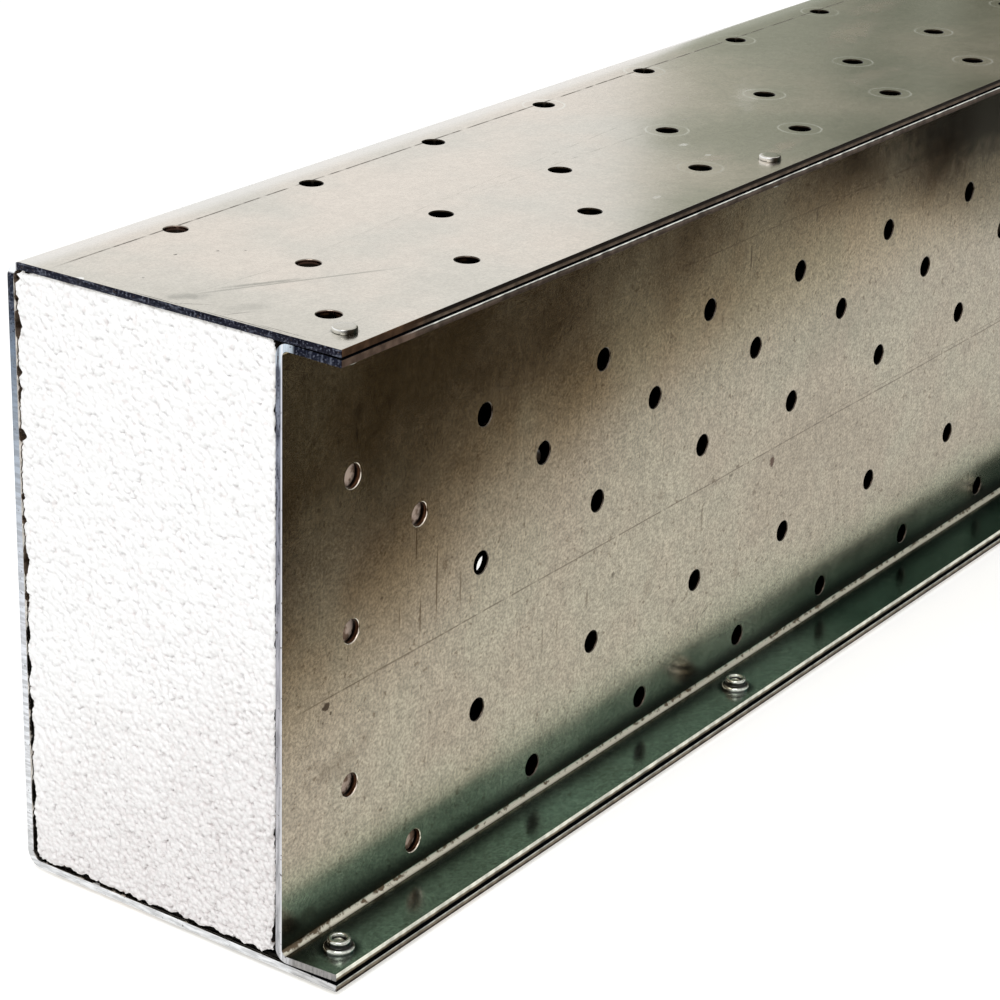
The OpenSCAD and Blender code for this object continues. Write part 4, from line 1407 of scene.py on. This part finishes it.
def shownOnly(tree):
    path = put(tree, "ShaderNodeLightPath")
    return largest(path["Is Camera Ray"], path["Is Glossy Ray"], path["Is Transmission Ray"])


def buildFloor():
    half = studio["floorSize"] / 2
    floor = newPiece("studioFloor", [(-half, -half, 0), (half, -half, 0), (half, half, 0), (-half, half, 0)],
                     [(0, 1, 2, 3)])
    material, tree, shader = newMaterial("palePaper")
    connect(tree, shader, {
        "Base Color": studio["floorColour"], "Roughness": 0.9, "Specular IOR Level": 0.1,
        "Emission Color": (1, 1, 1), "Emission Strength": shownOnly(tree) * studio["floorGlow"]})
    material.cycles.emission_sampling = "NONE"
    floor.data.materials.append(material)


def buildWorld():
    world = bpy.data.worlds.new("whiteStudio")
    world.use_nodes = True
    tree = world.node_tree
    strength = shownOnly(tree) * (1.0 - studio["worldLight"])
    connect(tree, tree.nodes["Background"], {
        "Color": (1, 1, 1), "Strength": calc("ADD", studio["worldLight"], strength)})
    bpy.context.scene.world = world


def addLamp():
    lamp = bpy.data.lights.new("keyLamp", "AREA")
    lamp.energy, lamp.size = studio["lampPower"], studio["lampSize"]
    place, target = (Vector(studio[key]) for key in ("lampPlace", "lampTarget"))
    lampObject = bpy.data.objects.new("keyLamp", lamp)
    lampObject.location = place
    lampObject.rotation_euler = (target - place).to_track_quat("-Z", "Y").to_euler()
    bpy.context.scene.collection.objects.link(lampObject)


def floorShade(place):
    # bright near the lintel, dark beyond a slanting edge, and nearly black past its far end
    slant = calc("MULTIPLY_ADD", place["X"], 0.18, place["Y"])
    bend = calc("MAXIMUM", -0.15 - place["X"], 0.0)
    dim = ease(calc("MULTIPLY_ADD", bend, -0.08, slant), -0.312, -0.232, 1.0, 0.0)
    far = ease(place["X"], 0.27, 0.33) * ease(place["Y"], -0.265, -0.23, 1.0, 0.0)
    lit = (1.0 - dim) * calc("MULTIPLY_ADD", far, -0.97, 1.0)
    near = ease(place["Y"], -0.086, -0.070)
    channels = [calc("POWER", lit, power) * calc("MULTIPLY_ADD", near, -drop, 1.0)
                for power, drop in ((1.0, 0.26), (1.2, 0.13), (1.55, 0.20))]
    own = blend(dim * calc("MULTIPLY_ADD", far, -0.8, 1.0), (0, 0, 0), (0.052, 0.040, 0.024))
    return joinXyz(place.tree, *channels), own


def roomShade(place):
    return (0, 0, 0), ramp(1.01 - place["Y"], [
        (0.0, (0.45, 0.465, 0.39)), (0.09, (0.375, 0.395, 0.33)), (0.14, (0.32, 0.335, 0.275)),
        (0.172, (0.235, 0.25, 0.20)), (0.203, (0.22, 0.235, 0.185)), (0.222, (0.30, 0.315, 0.26)),
        (0.248, (0.29, 0.305, 0.25)), (0.262, (0.18, 0.185, 0.14)), (0.7, (0.14, 0.145, 0.11))])


def sideShade(place):
    # plain grey, but green where the recess mirrors it a second time
    along = place["X"] / 4.0
    once = ramp(along, [(0.0, (0.60, 0.60, 0.575)), (0.52, (0.58, 0.58, 0.555)), (0.57, (0.10, 0.10, 0.09))])
    again = ramp(along, [(0.0, (0.44, 0.70, 0.64)), (0.52, (0.41, 0.68, 0.62)), (0.57, (0.05, 0.12, 0.10))])
    depth = put(place.tree, "ShaderNodeLightPath")["Glossy Depth"]
    return (0, 0, 0), blend(calc("GREATER_THAN", depth, 1.5), once, again)


def addCard(name, shade, corners):
    # a card that only reflections see; its shade gives what passes through and what it shows itself
    card = newPiece(name, corners, [tuple(range(len(corners)))])
    material = bpy.data.materials.new(name)
    material.use_nodes = True
    tree = material.node_tree
    tree.nodes.clear()
    passing, own = shade(splitXyz(objectPlace(tree)))
    clear = put(tree, "ShaderNodeBsdfTransparent", {"Color": passing})[0]
    glow = put(tree, "ShaderNodeEmission", {"Color": own, "Strength": 1.0})[0]
    both = put(tree, "ShaderNodeAddShader", {0: clear, 1: glow})[0]
    put(tree, "ShaderNodeOutputMaterial", {"Surface": both})
    material.cycles.emission_sampling = "NONE"
    card.data.materials.append(material)
    for ray in ("visible_camera", "visible_diffuse", "visible_shadow", "visible_transmission"):
        setattr(card, ray, False)


buildFloor()
buildWorld()
addLamp()
for name, shade, corners in (
        ("roomCard", roomShade,
         [(1.317, 1.034, 0.0), (2.2, -0.6, 0.0), (2.2, -0.6, 1.5), (1.317, 1.034, 1.5)]),
        ("floorCard", floorShade,
         [(-0.9, -0.068, 0.003), (1.2, -0.068, 0.003), (1.2, -1.6, 0.003), (-0.9, -1.6, 0.003)]),
        ("sideCard", sideShade, [(0.4, -1.5, 0.25), (4.0, -1.5, 0.25), (4.0, -1.5, 2.6), (0.4, -1.5, 2.6)])):
    addCard(name, shade, corners)

cameraLook = dict(
    lens=105.517,
    shift=(0.02, -0.001),
    place=(-1.22834, -0.55929, 0.4983),
    turn=(67.7152, -1.5097, -54.2321),  # degrees
)
camera = bpy.data.cameras.new("mainCamera")
camera.lens = cameraLook["lens"]
camera.shift_x, camera.shift_y = cameraLook["shift"]
cameraObject = bpy.data.objects.new("mainCamera", camera)
cameraObject.location = cameraLook["place"]
cameraObject.rotation_euler = [math.radians(angle) for angle in cameraLook["turn"]]
bpy.context.scene.collection.objects.link(cameraObject)
bpy.context.scene.camera = cameraObject
bpy.context.scene.view_settings.view_transform = "Standard"

# remove the helpers, then attach the pieces to the root body and hide the imported parts

for helper in list(bpy.context.scene.objects):
    if helper.name.endswith(("Rows", "Places", "Punch", "Bore", "Low", "High")):
        bpy.data.objects.remove(helper)

for piece, node, slotName in (
        (boxPiece, "box_section", "galvanised_sheet"), (webPiece, "web_channel", "galvanised_web"),
        (pinPiece, "rivet_pins", "rivet_steel"), (collarPiece, "rivet_collars", "collar_steel"),
        (nearPlug, "foam_plug_near", "bead_foam"), (farPlug, "foam_plug_far", "bead_foam")):
    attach(piece, "root")
    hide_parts(node)
